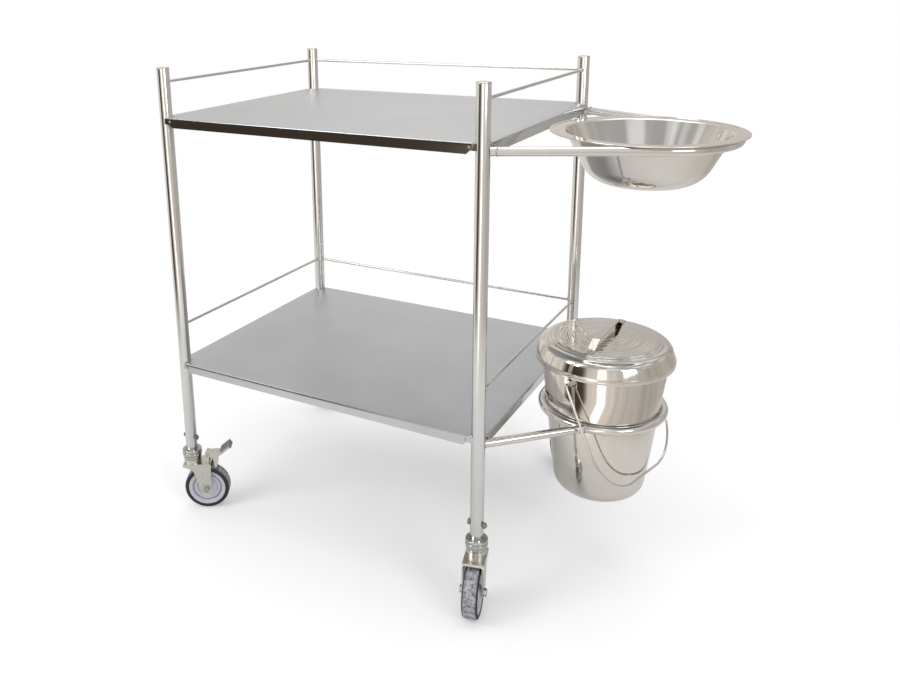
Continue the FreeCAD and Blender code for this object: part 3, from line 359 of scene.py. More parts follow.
class Finishes:
    """Every finish of the trolley, made once."""

    def __init__(self) -> None:
        """Make the materials."""
        # AISI 304 tube, belt polished and buffed: bright, with faint lines along the tube
        self.tube = Metal(
            "polished_stainless_tube", "DCDBD8", "CCCAC6", 0.17, Grain.UPRIGHT, 0.5, 0.010
        ).build()
        # the same tube bent or rolled to a ring, its polish without direction
        self.bent_tube = Metal(
            "polished_stainless_bent_tube", "DCD9D4", "CAC6C0", 0.15, Grain.BUFFED, 1.2, 0.008
        ).build()
        # AISI 304 sheet, satin from the mill: an even grey with short fine lines
        self.sheet = Metal(
            "satin_stainless_sheet", "C9CACB", "BABBBD", 0.38, Grain.DEEP, 0.7, 0.012, 160.0, 0.05, 0.11
        ).build()
        # bright drawn rod
        self.rod = Metal("bright_stainless_rod", "D6D4CF", "C2BFB9", 0.18, Grain.BUFFED, 0.8, 0.008).build()
        # spun and mirror polished sheet: rings from the spinning under a warm mirror
        self.spun = Metal(
            "mirror_spun_stainless", "D8D3CC", "C9C4BC", 0.085, Grain.SPUN, 1.6, 0.006, 55.0, 0.03
        ).build()
        # the same sheet inside the bucket, left satin: a soft grey that never mirrors
        self.satin = Metal(
            "satin_spun_stainless", "D2CFCA", "C3C0BB", 0.46, Grain.SPUN, 1.6, 0.006, 55.0, 0.04
        ).build()
        # nickel chrome plating on a turned castor head
        self.plating = Metal(
            "nickel_chrome_plating", "BAB9B5", "A9A8A4", 0.09, Grain.BUFFED, 2.0, 0.01
        ).build()
        # bright zinc on pressed steel: paler and duller than chrome, a little cloudy
        self.zinc = Metal(
            "bright_zinc_pressing", "D4D1C9", "BDB9B0", 0.26, Grain.BUFFED, 1.4, 0.02, 12.0, 0.07
        ).build()
        # plain steel fasteners
        self.fastener = Metal(
            "plain_steel_fastener", "BAB8B4", "9C9A96", 0.26, Grain.BUFFED, 0.9, 0.02, 6.0
        ).build()
        # stainless weld metal, brushed after welding: dull and lumpy
        self.weld = Metal(
            "brushed_weld_bead", "C2BEB7", "9A958D", 0.30, Grain.BUFFED, 0.9, 0.08, 5.0, 0.1
        ).build()
        # moulded polyamide wheel centre: lilac grey, slightly shiny
        self.wheel = Moulding("moulded_polyamide", "CAC9D3", "B8B7C2", 0.40, 0.5, 0.01).build()
        # thermoplastic rubber tyre: charcoal, with floor dust in its tread
        self.tyre = Moulding(
            "thermoplastic_rubber", "17181F", "25262E", 0.62, 0.8, 0.03, "B9B8BC", 48.4
        ).build()
        # moulded polypropylene pedal
        self.pedal = Moulding("moulded_polypropylene", "8C8F8A", "7A7D79", 0.5, 0.6, 0.02).build()


def rounded(corners: Sequence[tuple[Point, float]], steps: int) -> list[Vector]:
    """Straight runs through the corners, with a round of its own radius at each but the first and last.

    Args:
        corners: pairs of a point, in two or three dimensions, and a radius.
        steps: chords in each round.

    Returns:
        The points of the line.
    """
    points = []
    spots = [Vector(spot) for spot, _ in corners]
    for i, (corner, (_, radius)) in enumerate(zip(spots, corners)):
        if radius == 0:
            points.append(corner)
            continue
        back = (spots[i - 1] - corner).normalized()
        ahead = (spots[i + 1] - corner).normalized()
        half = back.angle(ahead) / 2
        run = radius / math.tan(half)
        centre = corner + (back + ahead).normalized() * (radius / math.sin(half))
        first = corner + back * run - centre
        last = corner + ahead * run - centre
        turn = math.pi - 2 * half
        for step in range(steps + 1):
            near = math.sin(turn * (1 - step / steps)) / math.sin(turn)
            far = math.sin(turn * step / steps) / math.sin(turn)
            points.append(centre + first * near + last * far)
    return points


def mark_sharp(mesh: bpy.types.Mesh, angle: float) -> None:
    """Shade a mesh smooth, but for its sharp edges.

    Args:
        mesh: the mesh.
        angle: edges that turn by more than this, in degrees, stay sharp.
    """
    work = bmesh.new()
    work.from_mesh(mesh)
    limit = math.radians(angle)
    for face in work.faces:
        face.smooth = True
    for edge in work.edges:
        edge.smooth = len(edge.link_faces) != 2 or edge.calc_face_angle(0.0) < limit
    work.to_mesh(mesh)
    work.free()


@dataclass
class Piece:
    """One mesh of the looks, with what it rides on and what it stands for."""

    name: str
    body: str
    slot: str
    finish: bpy.types.Material
    replaced: tuple[str, ...] = ()

    def add(
        self, build: Callable[[bmesh.types.BMesh], None], place: Matrix | None = None, sharp: float = 34.0
    ) -> bpy.types.Object:
        """Make the object.

        Args:
            build: fills an empty bmesh in the piece's own coordinates, in millimetres.
            place: where those coordinates lie, in metres.
            sharp: edges that turn more than this, in degrees, stay crisp.

        Returns:
            The object, riding on its body.
        """
        work = bmesh.new()
        build(work)
        bmesh.ops.scale(work, vec=(MM, MM, MM), verts=work.verts)
        bmesh.ops.recalc_face_normals(work, faces=work.faces)
        mesh = bpy.data.meshes.new(self.name)
        work.to_mesh(mesh)
        work.free()
        mark_sharp(mesh, sharp)
        mesh.materials.append(self.finish)
        made = add_object(self.name, mesh)
        made.matrix_world = place or Matrix.Identity(4)
        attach(made, self.body)
        if self.replaced:
            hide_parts(*self.replaced)
        LOG.info("%s: %d faces", self.name, len(mesh.polygons))
        return made


def circle(steps: int) -> list[tuple[float, float]]:
    """The cosine and sine of equal turns round a circle."""
    turns = [2 * math.pi * i / steps for i in range(steps)]
    return [(math.cos(turn), math.sin(turn)) for turn in turns]


def join_rings(work: bmesh.types.BMesh, rings: Sequence[Sequence[bmesh.types.BMVert]], closed: bool) -> None:
    """Join each ring of points to the next with faces.

    Args:
        work: the mesh to add to.
        rings: the rings, all with as many points.
        closed: whether the last ring joins the first.
    """
    sides = len(rings[0])
    pairs = list(zip(rings, rings[1:]))
    if closed:
        pairs.append((rings[-1], rings[0]))
    for low, high in pairs:
        for i in range(sides):
            j = (i + 1) % sides
            loop = list(dict.fromkeys((low[i], low[j], high[j], high[i])))
            if len(loop) > 2:
                work.faces.new(loop)


def lathe(work: bmesh.types.BMesh, profile: Sequence[Point], sides: int = 96, closed: bool = True) -> None:
    """Turn a profile about the Z axis.

    Args:
        work: the mesh to add to.
        profile: points (reach, height) in millimetres.
        sides: flats in the round.
        closed: whether the profile's last point joins its first.
    """
    rings = []
    for reach, height in profile:
        if reach == 0:
            rings.append([work.verts.new((0, 0, height))] * sides)
        else:
            rings.append([work.verts.new((reach * x, reach * y, height)) for x, y in circle(sides)])
    join_rings(work, rings, closed)


def sweep(
    work: bmesh.types.BMesh, path: Sequence[Vector], radius: float, sides: int = 28, closed: bool = False
) -> None:
    """Run a round section along a path.

    Args:
        work: the mesh to add to.
        path: points in millimetres.
        radius: the section's radius in millimetres.
        sides: flats in the round.
        closed: whether the path's last point joins its first.
    """
    count = len(path)
    heading = (path[1] - path[0]).normalized()
    side = heading.orthogonal().normalized()
    rings = []
    for i, point in enumerate(path):
        before = path[i - 1] if closed or i > 0 else point
        after = path[(i + 1) % count] if closed or i < count - 1 else point
        ahead = (after - before).normalized()
        side = (side - ahead * side.dot(ahead)).normalized()
        other = ahead.cross(side)
        spots = [point + side * (radius * x) + other * (radius * y) for x, y in circle(sides)]
        rings.append([work.verts.new(spot) for spot in spots])
    if not closed:
        work.faces.new(list(reversed(rings[0])))
        work.faces.new(rings[-1])
    join_rings(work, rings, closed)


def centre_of(node: str) -> Vector:
    """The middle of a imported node's box, in metres."""
    low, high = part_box(node)
    return (Vector(low) + Vector(high)) / 2


def turned_to(direction: Vector, spot: Vector) -> Matrix:
    """A placement that stands local Z along a direction at a spot."""
    return Matrix.Translation(spot) @ direction.to_track_quat("Z", "Y").to_matrix().to_4x4()


CORNERS = {
    "front_left": 30.5,
    "front_right": -76.0,
    "rear_left": 72.0,
    "rear_right": 128.0,
}
BRAKED = ("front_left", "rear_right")


@dataclass
class Frame:
    """Legs, caps, rails, hoop and bucket ring, with the welds that join them."""

    finishes: Finishes
    tube_radius: float = 12.7
    tube_wall: float = 1.2
    cap: float = 2.0
    cap_fit: float = 0.1
    cap_gap: float = 0.25
    cap_plug: float = 8.0
    rail_radius: float = 3.0
    holder_radius: float = 8.0
    arm_radius: float = 7.98
    arm_gap: float = 2.0
    hoop_radius: float = 156.0
    ring_radius: float = 117.0
    bead: float = 1.3
    rail_bite: float = 0.5
    holder_bite: float = 1.0
    stride: float = 0.25
    arm_reach: float = 400.0

    def leg_axis(self, corner: str) -> Vector:
        """A leg's axis at floor level, in millimetres."""
        middle = centre_of(f"leg_{corner}") / MM
        return Vector((middle.x, middle.y, 0))

    def build_legs(self) -> None:
        """Build the four tubes and their caps."""
        outside = self.tube_radius
        inside = outside - self.tube_wall
        for corner in CORNERS:
            low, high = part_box(f"leg_{corner}")
            foot, top = low[2] / MM, high[2] / MM
            profile = rounded(
                [((inside, foot), 0), ((outside, foot), 0.4), ((outside, top), 0.3), ((inside, top), 0)], 3
            )
            Piece(f"tube_{corner}", "frame", "tube_stainless", self.finishes.tube, (f"leg_{corner}",)).add(
                lambda work: lathe(work, profile, 72), Matrix.Translation(self.leg_axis(corner) * MM)
            )
        over, under = outside - self.cap_fit, inside - self.cap_fit
        seat, plug = top + self.cap_gap, top - self.cap_plug
        crown = rounded(
            [
                ((0, top + self.cap), 0),
                ((over, top + self.cap), 1.2),
                ((over, seat), 0.2),
                ((under, seat), 0),
                ((under, plug), 0),
                ((0, plug), 0),
            ],
            4,
        )

        def caps(work: bmesh.types.BMesh) -> None:
            """Turn all four caps.

            Args:
                work: the mesh to add to.
            """
            for corner in CORNERS:
                before = len(work.verts)
                lathe(work, crown, 72, closed=False)
                work.verts.ensure_lookup_table()
                bmesh.ops.translate(work, vec=self.leg_axis(corner), verts=work.verts[before:])

        Piece("tube_caps", "frame", "tube_stainless", self.finishes.rod, ("leg_caps",)).add(caps)

    def weld(self, name: str, axis: Vector, direction: Vector, radius: float) -> None:
        """Build the bead where a round bar meets a leg.

        Args:
            name: the piece's name.
            axis: the leg's axis at the bar's height, in millimetres.
            direction: the bar's direction away from the leg.
            radius: the bar's radius.
        """
        ahead = direction.normalized()
        side = UP.cross(ahead)
        path = []
        for x, y in circle(48):
            across = radius * x
            along = math.sqrt(self.tube_radius**2 - across**2)
            path.append(axis + ahead * along + side * across + UP * (radius * y))
        Piece(name, "frame", "tube_stainless", self.finishes.weld).add(
            lambda work: sweep(work, path, self.bead, 10, closed=True)
        )

    def build_rails(self) -> None:
        """Build the six guard rails and their welds."""
        runs = {
            "left": ("front_left", "rear_left"),
            "right": ("front_right", "rear_right"),
            "rear": ("rear_left", "rear_right"),
        }
        for level in ("upper", "lower"):
            for side, (first, last) in runs.items():
                node = f"{level}_rail_{side}"
                height = centre_of(node).z / MM
                start = self.leg_axis(first) + UP * height
                end = self.leg_axis(last) + UP * height
                ahead = (end - start).normalized()
                inset = self.tube_radius - self.rail_bite
                path = [start + ahead * inset, end - ahead * inset]
                Piece(f"guard_{level}_{side}", "frame", "rod_stainless", self.finishes.rod, (node,)).add(
                    lambda work: sweep(work, path, self.rail_radius, 20)
                )
                self.weld(f"weld_{level}_{side}_1", start, ahead, self.rail_radius)
                self.weld(f"weld_{level}_{side}_2", end, -ahead, self.rail_radius)

    def build_hoop(self) -> None:
        """Build the bowl hoop: straight, round, straight."""
        centre = centre_of("bowl") / MM
        centre.z = centre_of("bowl_hoop").z / MM
        start = self.leg_axis("front_right") + UP * centre.z
        reach = start - centre
        far = reach.length
        swing = math.acos(self.hoop_radius / far)
        touch = math.atan2(reach.y, reach.x) + swing
        steps = 72
        path = [start]
        for i in range(steps + 1):
            angle = touch + (-2 * touch) * i / steps
            path.append(centre + self.hoop_radius * Vector((math.cos(angle), math.sin(angle), 0)))
        end = Vector((start.x, -start.y, start.z))
        path.append(end)
        inset = self.tube_radius - self.holder_bite
        path[0] += (path[1] - path[0]).normalized() * inset
        path[-1] += (path[-2] - path[-1]).normalized() * inset
        Piece("hoop_tube", "frame", "tube_stainless", self.finishes.bent_tube, ("bowl_hoop",)).add(
            lambda work: sweep(work, path, self.holder_radius, 36)
        )
        self.weld("weld_hoop_front", start, path[1] - start, self.holder_radius)
        self.weld("weld_hoop_rear", end, path[-2] - end, self.holder_radius)

    def build_ring(self) -> None:
        """Build the bucket ring, its two arms and their welds."""
        centre = centre_of("bucket_ring") / MM
        finish = self.finishes.bent_tube
        path = [centre + self.ring_radius * Vector((x, y, 0)) for x, y in circle(144)]
        Piece("ring_tube", "frame", "tube_stainless", finish, ("bucket_ring",)).add(
            lambda work: sweep(work, path, self.holder_radius, 36, closed=True)
        )
        for name, side in (("front", -1), ("rear", 1)):
            start = self.leg_axis(f"{name}_right") + UP * centre.z
            end = centre + Vector((0, side * self.ring_radius, 0))
            ahead = (end - start).normalized()
            run = [start + ahead * (self.tube_radius - self.holder_bite), end - ahead * self.arm_gap]
            Piece(f"ring_arm_{name}", "frame", "tube_stainless", finish, (f"bucket_arm_{name}",)).add(
                lambda work: sweep(work, run, self.arm_radius, 36)
            )
            self.weld(f"weld_arm_{name}", start, ahead, self.holder_radius)
            self.weld_to_ring(f"weld_ring_{name}", start, ahead, centre)

    def weld_to_ring(self, name: str, start: Vector, ahead: Vector, centre: Vector) -> None:
        """Build the bead where an arm runs into the ring.

        Args:
            name: the piece's name.
            start: a point of the arm's axis, at the leg, in millimetres.
            ahead: the arm's direction.
            centre: the ring's centre.
        """
        side = UP.cross(ahead)
        path = []
        for x, y in circle(56):
            offset = (side * x + UP * y) * self.holder_radius
            along = 0.0
            while along < self.arm_reach:
                spot = start + offset + ahead * along - centre
                flat = math.hypot(spot.x, spot.y) - self.ring_radius
                if math.hypot(flat, spot.z) < self.holder_radius:
                    path.append(start + offset + ahead * along)
                    break
                along += self.stride
        Piece(name, "frame", "tube_stainless", self.finishes.weld).add(
            lambda work: sweep(work, path, self.bead, 10, closed=True)
        )

    def build(self) -> None:
        """Build the whole welded frame."""
        self.build_legs()
        self.build_rails()
        self.build_hoop()
        self.build_ring()


@dataclass
class Shelves:
    """The two tray shelves with their tabs and rivets."""

    finishes: Finishes
    bend: float = 1.6
    same: float = 0.01
    long_edge: float = 60.0

    def eased_copy(self, node: str, name: str, bevel: float) -> None:
        """Copy a packed sheet-metal node and ease its bent edges.

        Args:
            node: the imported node.
            name: the new piece's name.
            bevel: the bend radius in millimetres.
        """

        def build(work: bmesh.types.BMesh) -> None:
            """Copy the node and round the long edges of its top.

            Args:
                work: the mesh to add to.
            """
            work.from_mesh(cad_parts[node].data)
            bmesh.ops.scale(work, vec=(1 / MM,) * 3, verts=work.verts)
            bmesh.ops.remove_doubles(work, verts=work.verts, dist=self.same)
            bmesh.ops.dissolve_limit(work, angle_limit=math.radians(1), verts=work.verts, edges=work.edges)
            top = max(vert.co.z for vert in work.verts)
            rim = [
                edge
                for edge in work.edges
                if len(edge.link_faces) == 2
                and all(vert.co.z > top - self.same for vert in edge.verts)
                and edge.calc_length() > self.long_edge
            ]
            bmesh.ops.bevel(work, geom=rim, offset=bevel, segments=4, profile=0.5, affect="EDGES")

        Piece(name, "frame", "tray_stainless", self.finishes.sheet, (node,)).add(build)

    def build(self) -> None:
        """Dress both shelves."""
        for level in ("upper", "lower"):
            self.eased_copy(f"{level}_shelf", f"tray_{level}", self.bend)
            dress(f"{level}_shelf_tabs", self.finishes.sheet)
        dress("shelf_rivets", self.finishes.fastener)


def dress(node: str, finish: bpy.types.Material) -> None:
    """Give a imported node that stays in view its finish.

    Args:
        node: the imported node.
        finish: its material.
    """
    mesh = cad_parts[node].data
    mesh.materials.clear()
    mesh.materials.append(finish)
    LOG.info("%s: dressed", node)


@dataclass
class Bowl:
    """The wash bowl."""

    finishes: Finishes
    rim: float = 173.0
    mouth: float = 146.0
    base: float = 96.0
    depth: float = 95.0
    round_base: float = 62.0
    shoulder: float = 5.0
    sheet: float = 1.0
    hem: float = 5.0
    hem_gap: float = 0.4

    def build(self) -> None:
        """Spin the bowl with its folded edge."""
        middle = centre_of("bowl")
        sheet = self.sheet
        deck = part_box("bowl")[0][2] + self.depth * MM
        fold = self.rim - self.hem
        outside = [
            ((0, -self.depth), 0),
            ((self.base, -self.depth), self.round_base),
            ((self.mouth, 0), self.shoulder),
            ((self.rim, 0), sheet * 0.98),
            ((self.rim, sheet * 2), sheet * 0.98),
            ((fold, sheet * 2), sheet * 0.5),
            ((fold - self.hem_gap, sheet), 0),
        ]
        inside = [
            ((fold - self.hem_gap, sheet), 0),
            ((self.mouth - sheet, sheet), self.shoulder + sheet),
            ((self.base - sheet, sheet - self.depth), self.round_base - sheet),
            ((0, sheet - self.depth), 0),
        ]
        profile = rounded(outside, 20) + rounded(inside, 20)[1:]
        Piece("spun_bowl", "bowl", "vessel_stainless", self.finishes.spun, ("bowl",)).add(
            lambda work: lathe(work, profile, 160, closed=False),
            Matrix.Translation((middle.x, middle.y, deck)),
            50,
        )


@dataclass
class Bucket:
    """The bucket with its ears and bail, and its lid with a strap handle."""

    finishes: Finishes
    rim: float = 121.0
    height: float = 281.0
    base: float = 86.6
    round_base: float = 28.0
    sheet: float = 1.0
    bead: float = 2.4
    bead_out: float = 0.4
    wire: float = 2.25
    half_span: float = 136.0
    depth: float = 225.0
    bow_round: float = 92.0
    hook_round: float = 7.0
    hook: float = 8.0
    tilt: float = 26.5
    ear_azimuth: float = -105.0
    lid_edge: float = 133.0
    lid_shoulder: float = 122.0
    lid_round: float = 19.0
    lid_skirt: float = 4.5
    lid_rise: float = 33.0
    lid_step: float = 2.5
    lid_rings: tuple[float, float] = (106.0, 100.0)
    lid_grooves: tuple[float, ...] = (92.0, 85.0, 77.0, 63.0, 55.0, 40.0, 31.0, 16.0)

    def build_shell(self) -> None:
        """Spin the bucket with a wired rim."""
        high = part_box("bucket")[1]
        middle = centre_of("bucket")
        sheet = self.sheet
        bead = self.bead
        wall = [
            ((0, -self.height), 0),
            ((self.base, -self.height), self.round_base),
            ((self.rim - 0.2, -2.2 * bead), 0),
        ]
        turns = [math.radians(angle) for angle in range(-140, 141, 20)]
        axis = self.rim + self.bead_out
        roll = [(axis + bead * math.cos(turn), bead * math.sin(turn) - bead) for turn in turns]
        inside = [
            ((self.rim - sheet, -bead), 0),
            ((self.base - sheet, sheet - self.height), self.round_base - sheet),
            ((0, sheet - self.height), 0),
        ]
        profile = rounded(wall, 16) + roll + rounded(inside, 16)
        shell = Piece("spun_bucket", "bucket", "vessel_stainless", self.finishes.spun, ("bucket",)).add(
            lambda work: lathe(work, profile, 160, closed=False),
            Matrix.Translation((middle.x, middle.y, high[2])),
            50,
        )
        shell.data.materials.append(self.finishes.satin)
        for face in shell.data.polygons:
            inward = face.normal.x * face.center.x + face.normal.y * face.center.y < 0
            if face.center.z < -bead * MM and (inward or face.normal.z > 0.5):
                face.material_index = 1
        dress("bucket_ears", self.finishes.spun)

    def build_bail(self) -> None:
        """Bend the bail's wire, with its ends hooked into the ears."""
        ears = centre_of("bucket_ears") / MM
        low, high = (Vector(corner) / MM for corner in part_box("bucket_ears"))
        pin = Vector((high.x - low.x, high.y - low.y, 0)).length / 2 - self.hook
        lean = math.radians(self.tilt)
        turn = math.radians(self.ear_azimuth)
        along = Vector((math.cos(turn), math.sin(turn), 0))
        down = -UP * math.cos(lean) + UP.cross(along) * math.sin(lean)
        corners = [
            (along * -pin, 0),
            (along * -self.half_span, self.hook_round),
            (along * -self.half_span + down * self.depth, self.bow_round),
            (along * self.half_span + down * self.depth, self.bow_round),
            (along * self.half_span, self.hook_round),
            (along * pin, 0),
        ]
        path = rounded(corners, 24)
        Piece("bail_wire", "bail", "rod_stainless", self.finishes.rod, ("bail",)).add(
            lambda work: sweep(work, path, self.wire, 18), Matrix.Translation(ears * MM)
        )

    def spun_groove(self, reach: float, height: float, deep: float) -> list[tuple[Point, float]]:
        """The corners of a shallow ring that the spinning roller left on the lid.

        Args:
            reach: the ring's radius.
            height: the level of the lid round it.
            deep: how deep the ring is.

        Returns:
            Corners with their radii, from the outside inward.
        """
        half, lip, hollow = 2.2, 2.0, 2.5
        rim, middle = ((reach + half, height), lip), ((reach, height - deep), hollow)
        return [rim, middle, ((reach - half, height), lip)]

    def build_lid(self) -> None:
        """Spin the lid: an upright edge, a tall sloping side, a round shoulder and two low steps."""
        middle = centre_of("bucket")
        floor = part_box("lid")[0][2] / MM + self.lid_skirt
        sheet, edge, skirt = self.sheet, self.lid_edge, self.lid_skirt
        outer, inner = self.lid_rings
        rise, step = self.lid_rise, self.lid_step
        top = rise + 2 * step
        groove = 0.3
        soft = 1.5
        side = [
            ((edge - sheet, -skirt), 0),
            ((edge, -skirt), 0.45),
            ((edge, -0.6), 0.5),
            ((edge - groove, 0.2), 0.4),
            ((edge, 1.0), 0.5),
            ((edge - 0.3, 4.4), 0.6),
            ((edge - 1.6, 5.2), 0.5),
            ((edge - 1.2, 6.2), 0.6),
            ((self.lid_shoulder, rise), self.lid_round),
        ]
        side += [((outer + step, rise), soft), ((outer, rise + step), soft)]
        side += [((inner + step, rise + step), soft), ((inner, top), soft)]
        for reach in self.lid_grooves:
            side += self.spun_groove(reach, top, groove)
        side += [((0, top), 0)]
        back = [
            ((0, top - sheet), 0),
            ((self.lid_shoulder - sheet - 4, rise - sheet), self.lid_round - 2),
            ((edge - sheet, 2.4), 0),
        ]
        profile = rounded(side, 10) + rounded(back, 10)
        Piece("spun_lid", "lid", "vessel_stainless", self.finishes.spun, ("lid",)).add(
            lambda work: lathe(work, profile, 160), Matrix.Translation((middle.x, middle.y, floor * MM)), 50
        )
        dress("lid_handle", self.finishes.spun)
        dress("lid_rivets", self.finishes.fastener)

    def build(self) -> None:
        """Build bucket, bail and lid."""
        self.build_shell()
        self.build_bail()
        self.build_lid()


@dataclass
class Castor:
    """One swivel castor, modelled with its swivel axis at the origin and its wheel trailing along X."""

    finishes: Finishes
    corner: str
    trail: float = 30.0
    wheel_radius: float = 50.0
    tyre_depth: float = 9.0
    width: float = 30.0
    hub: float = 13.0
    bore: float = 4.05
    head_neck: float = 20.0
    head_ring: float = 21.5
    head_height: float = 18.0
    head_tube: float = 12.8
    head_plug: float = 11.3
    head_bore: float = 6.1

    def swivel_place(self) -> Matrix:
        """Where the castor's own coordinates lie.

        Returns:
            A placement at floor level under the leg, with X along the trail.
        """
        middle = centre_of(f"leg_{self.corner}")
        turn = Matrix.Rotation(math.radians(CORNERS[self.corner]), 4, "Z")
        return Matrix.Translation((middle.x, middle.y, 0)) @ turn

    def wheel_place(self) -> Matrix:
        """Where the wheel's own coordinates lie, with the axle along Y."""
        return self.swivel_place() @ Matrix.Translation((self.trail * MM, 0, self.wheel_radius * MM))

    def build_wheel(self) -> None:
        """Turn the wheel centre and its tyre about the axle."""
        rim = self.wheel_radius - self.tyre_depth
        side = self.width / 2 - 2
        boss, dish, web, channel = side + 4, side - 4.5, side - 2.6, side - 8
        half = rounded(
            [
                ((self.bore, boss), 0),
                ((8.8, boss), 0.6),
                ((9.2, side), 0.8),
                ((self.hub, side), 1.2),
                ((self.hub + 1.5, dish), 1.0),
                ((22, dish), 0.8),
                ((23.5, web), 0.8),
                ((rim - 12.0, web), 0.8),
                ((rim - 10.6, channel), 0.5),
                ((rim - 9.0, channel), 0.5),
                ((rim - 7.8, side - 0.9), 0.8),
                ((rim, side + 0.4), 0),
            ],
            4,
        )
        profile = half + [(x, -y) for x, y in reversed(half)]
        place = self.wheel_place() @ Matrix.Rotation(math.pi / 2, 4, "X")
        body = f"wheel_{self.corner}"
        centre = Piece(f"wheel_centre_{self.corner}", body, "wheel_plastic", self.finishes.wheel, (body,))
        centre.add(lambda work: lathe(work, profile, 96), place)
        shoulder = self.tyre_depth * 0.7
        face = self.width / 2
        tread = rounded(
            [
                ((rim, 1 - face), 0),
                ((rim + 1.2, -face), 0.8),
                ((self.wheel_radius, -face), shoulder),
                ((self.wheel_radius, face), shoulder),
                ((rim + 1.2, face), 0.8),
                ((rim, face - 1), 0),
            ],
            8,
        )
        tyre = f"tyre_{self.corner}"
        skin = Piece(f"tread_{self.corner}", body, "tyre_rubber", self.finishes.tyre, (tyre,))

        def build(work: bmesh.types.BMesh) -> None:
            """Turn the tyre and lay its axle along Y.

            Args:
                work: the mesh to add to.
            """
            lathe(work, tread, 120)
            quarter = Matrix.Rotation(math.pi / 2, 3, "X")
            bmesh.ops.rotate(work, cent=(0, 0, 0), matrix=quarter, verts=work.verts)

        skin.add(build, self.wheel_place())

    def build_head(self) -> None:
        """Turn the plated head: a neck and two stacked rings round the foot of the leg."""
        low, high = (corner[2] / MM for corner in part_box(f"stem_{self.corner}"))
        neck, ring, tube = self.head_neck, self.head_ring, self.head_tube
        plug, bore = self.head_plug, self.head_bore
        foot = low + self.head_height
        groove, waist, lip, deep = low + 7.2, low + 15, foot + 4, low + 14
        profile = rounded(
            [
                ((bore, low), 0),
                ((neck, low), 1.4),
                ((neck, groove - 0.8), 0.4),
                ((neck - 1.6, groove), 0.4),
                ((ring, groove + 0.8), 1.2),
                ((ring, waist - 0.6), 2.2),
                ((neck - 1.8, waist), 0.5),
                ((ring, waist + 0.6), 1.6),
                ((ring - 0.4, lip), 2.4),
                ((tube, lip), 0),
                ((tube, foot), 0),
                ((plug, foot), 0),
                ((plug, high), 2),
                ((0, high), 0),
                ((0, deep), 0),
                ((bore, deep), 0),
            ],
            5,
        )
        middle = centre_of(f"leg_{self.corner}")
        stem = f"stem_{self.corner}"
        Piece(f"head_{self.corner}", "frame", "castor_chrome", self.finishes.plating, (stem,)).add(
            lambda work: lathe(work, profile, 72),
            Matrix.Translation((middle.x, middle.y, 0)),
        )

    def build(self) -> None:
        """Build the castor."""
        self.build_wheel()
        self.build_head()
        dress(f"fork_{self.corner}", self.finishes.zinc)
        dress(f"axle_{self.corner}", self.finishes.fastener)
        if self.corner in BRAKED:
            dress(f"brake_lever_{self.corner}", self.finishes.zinc)
            dress(f"brake_pedal_{self.corner}", self.finishes.pedal)


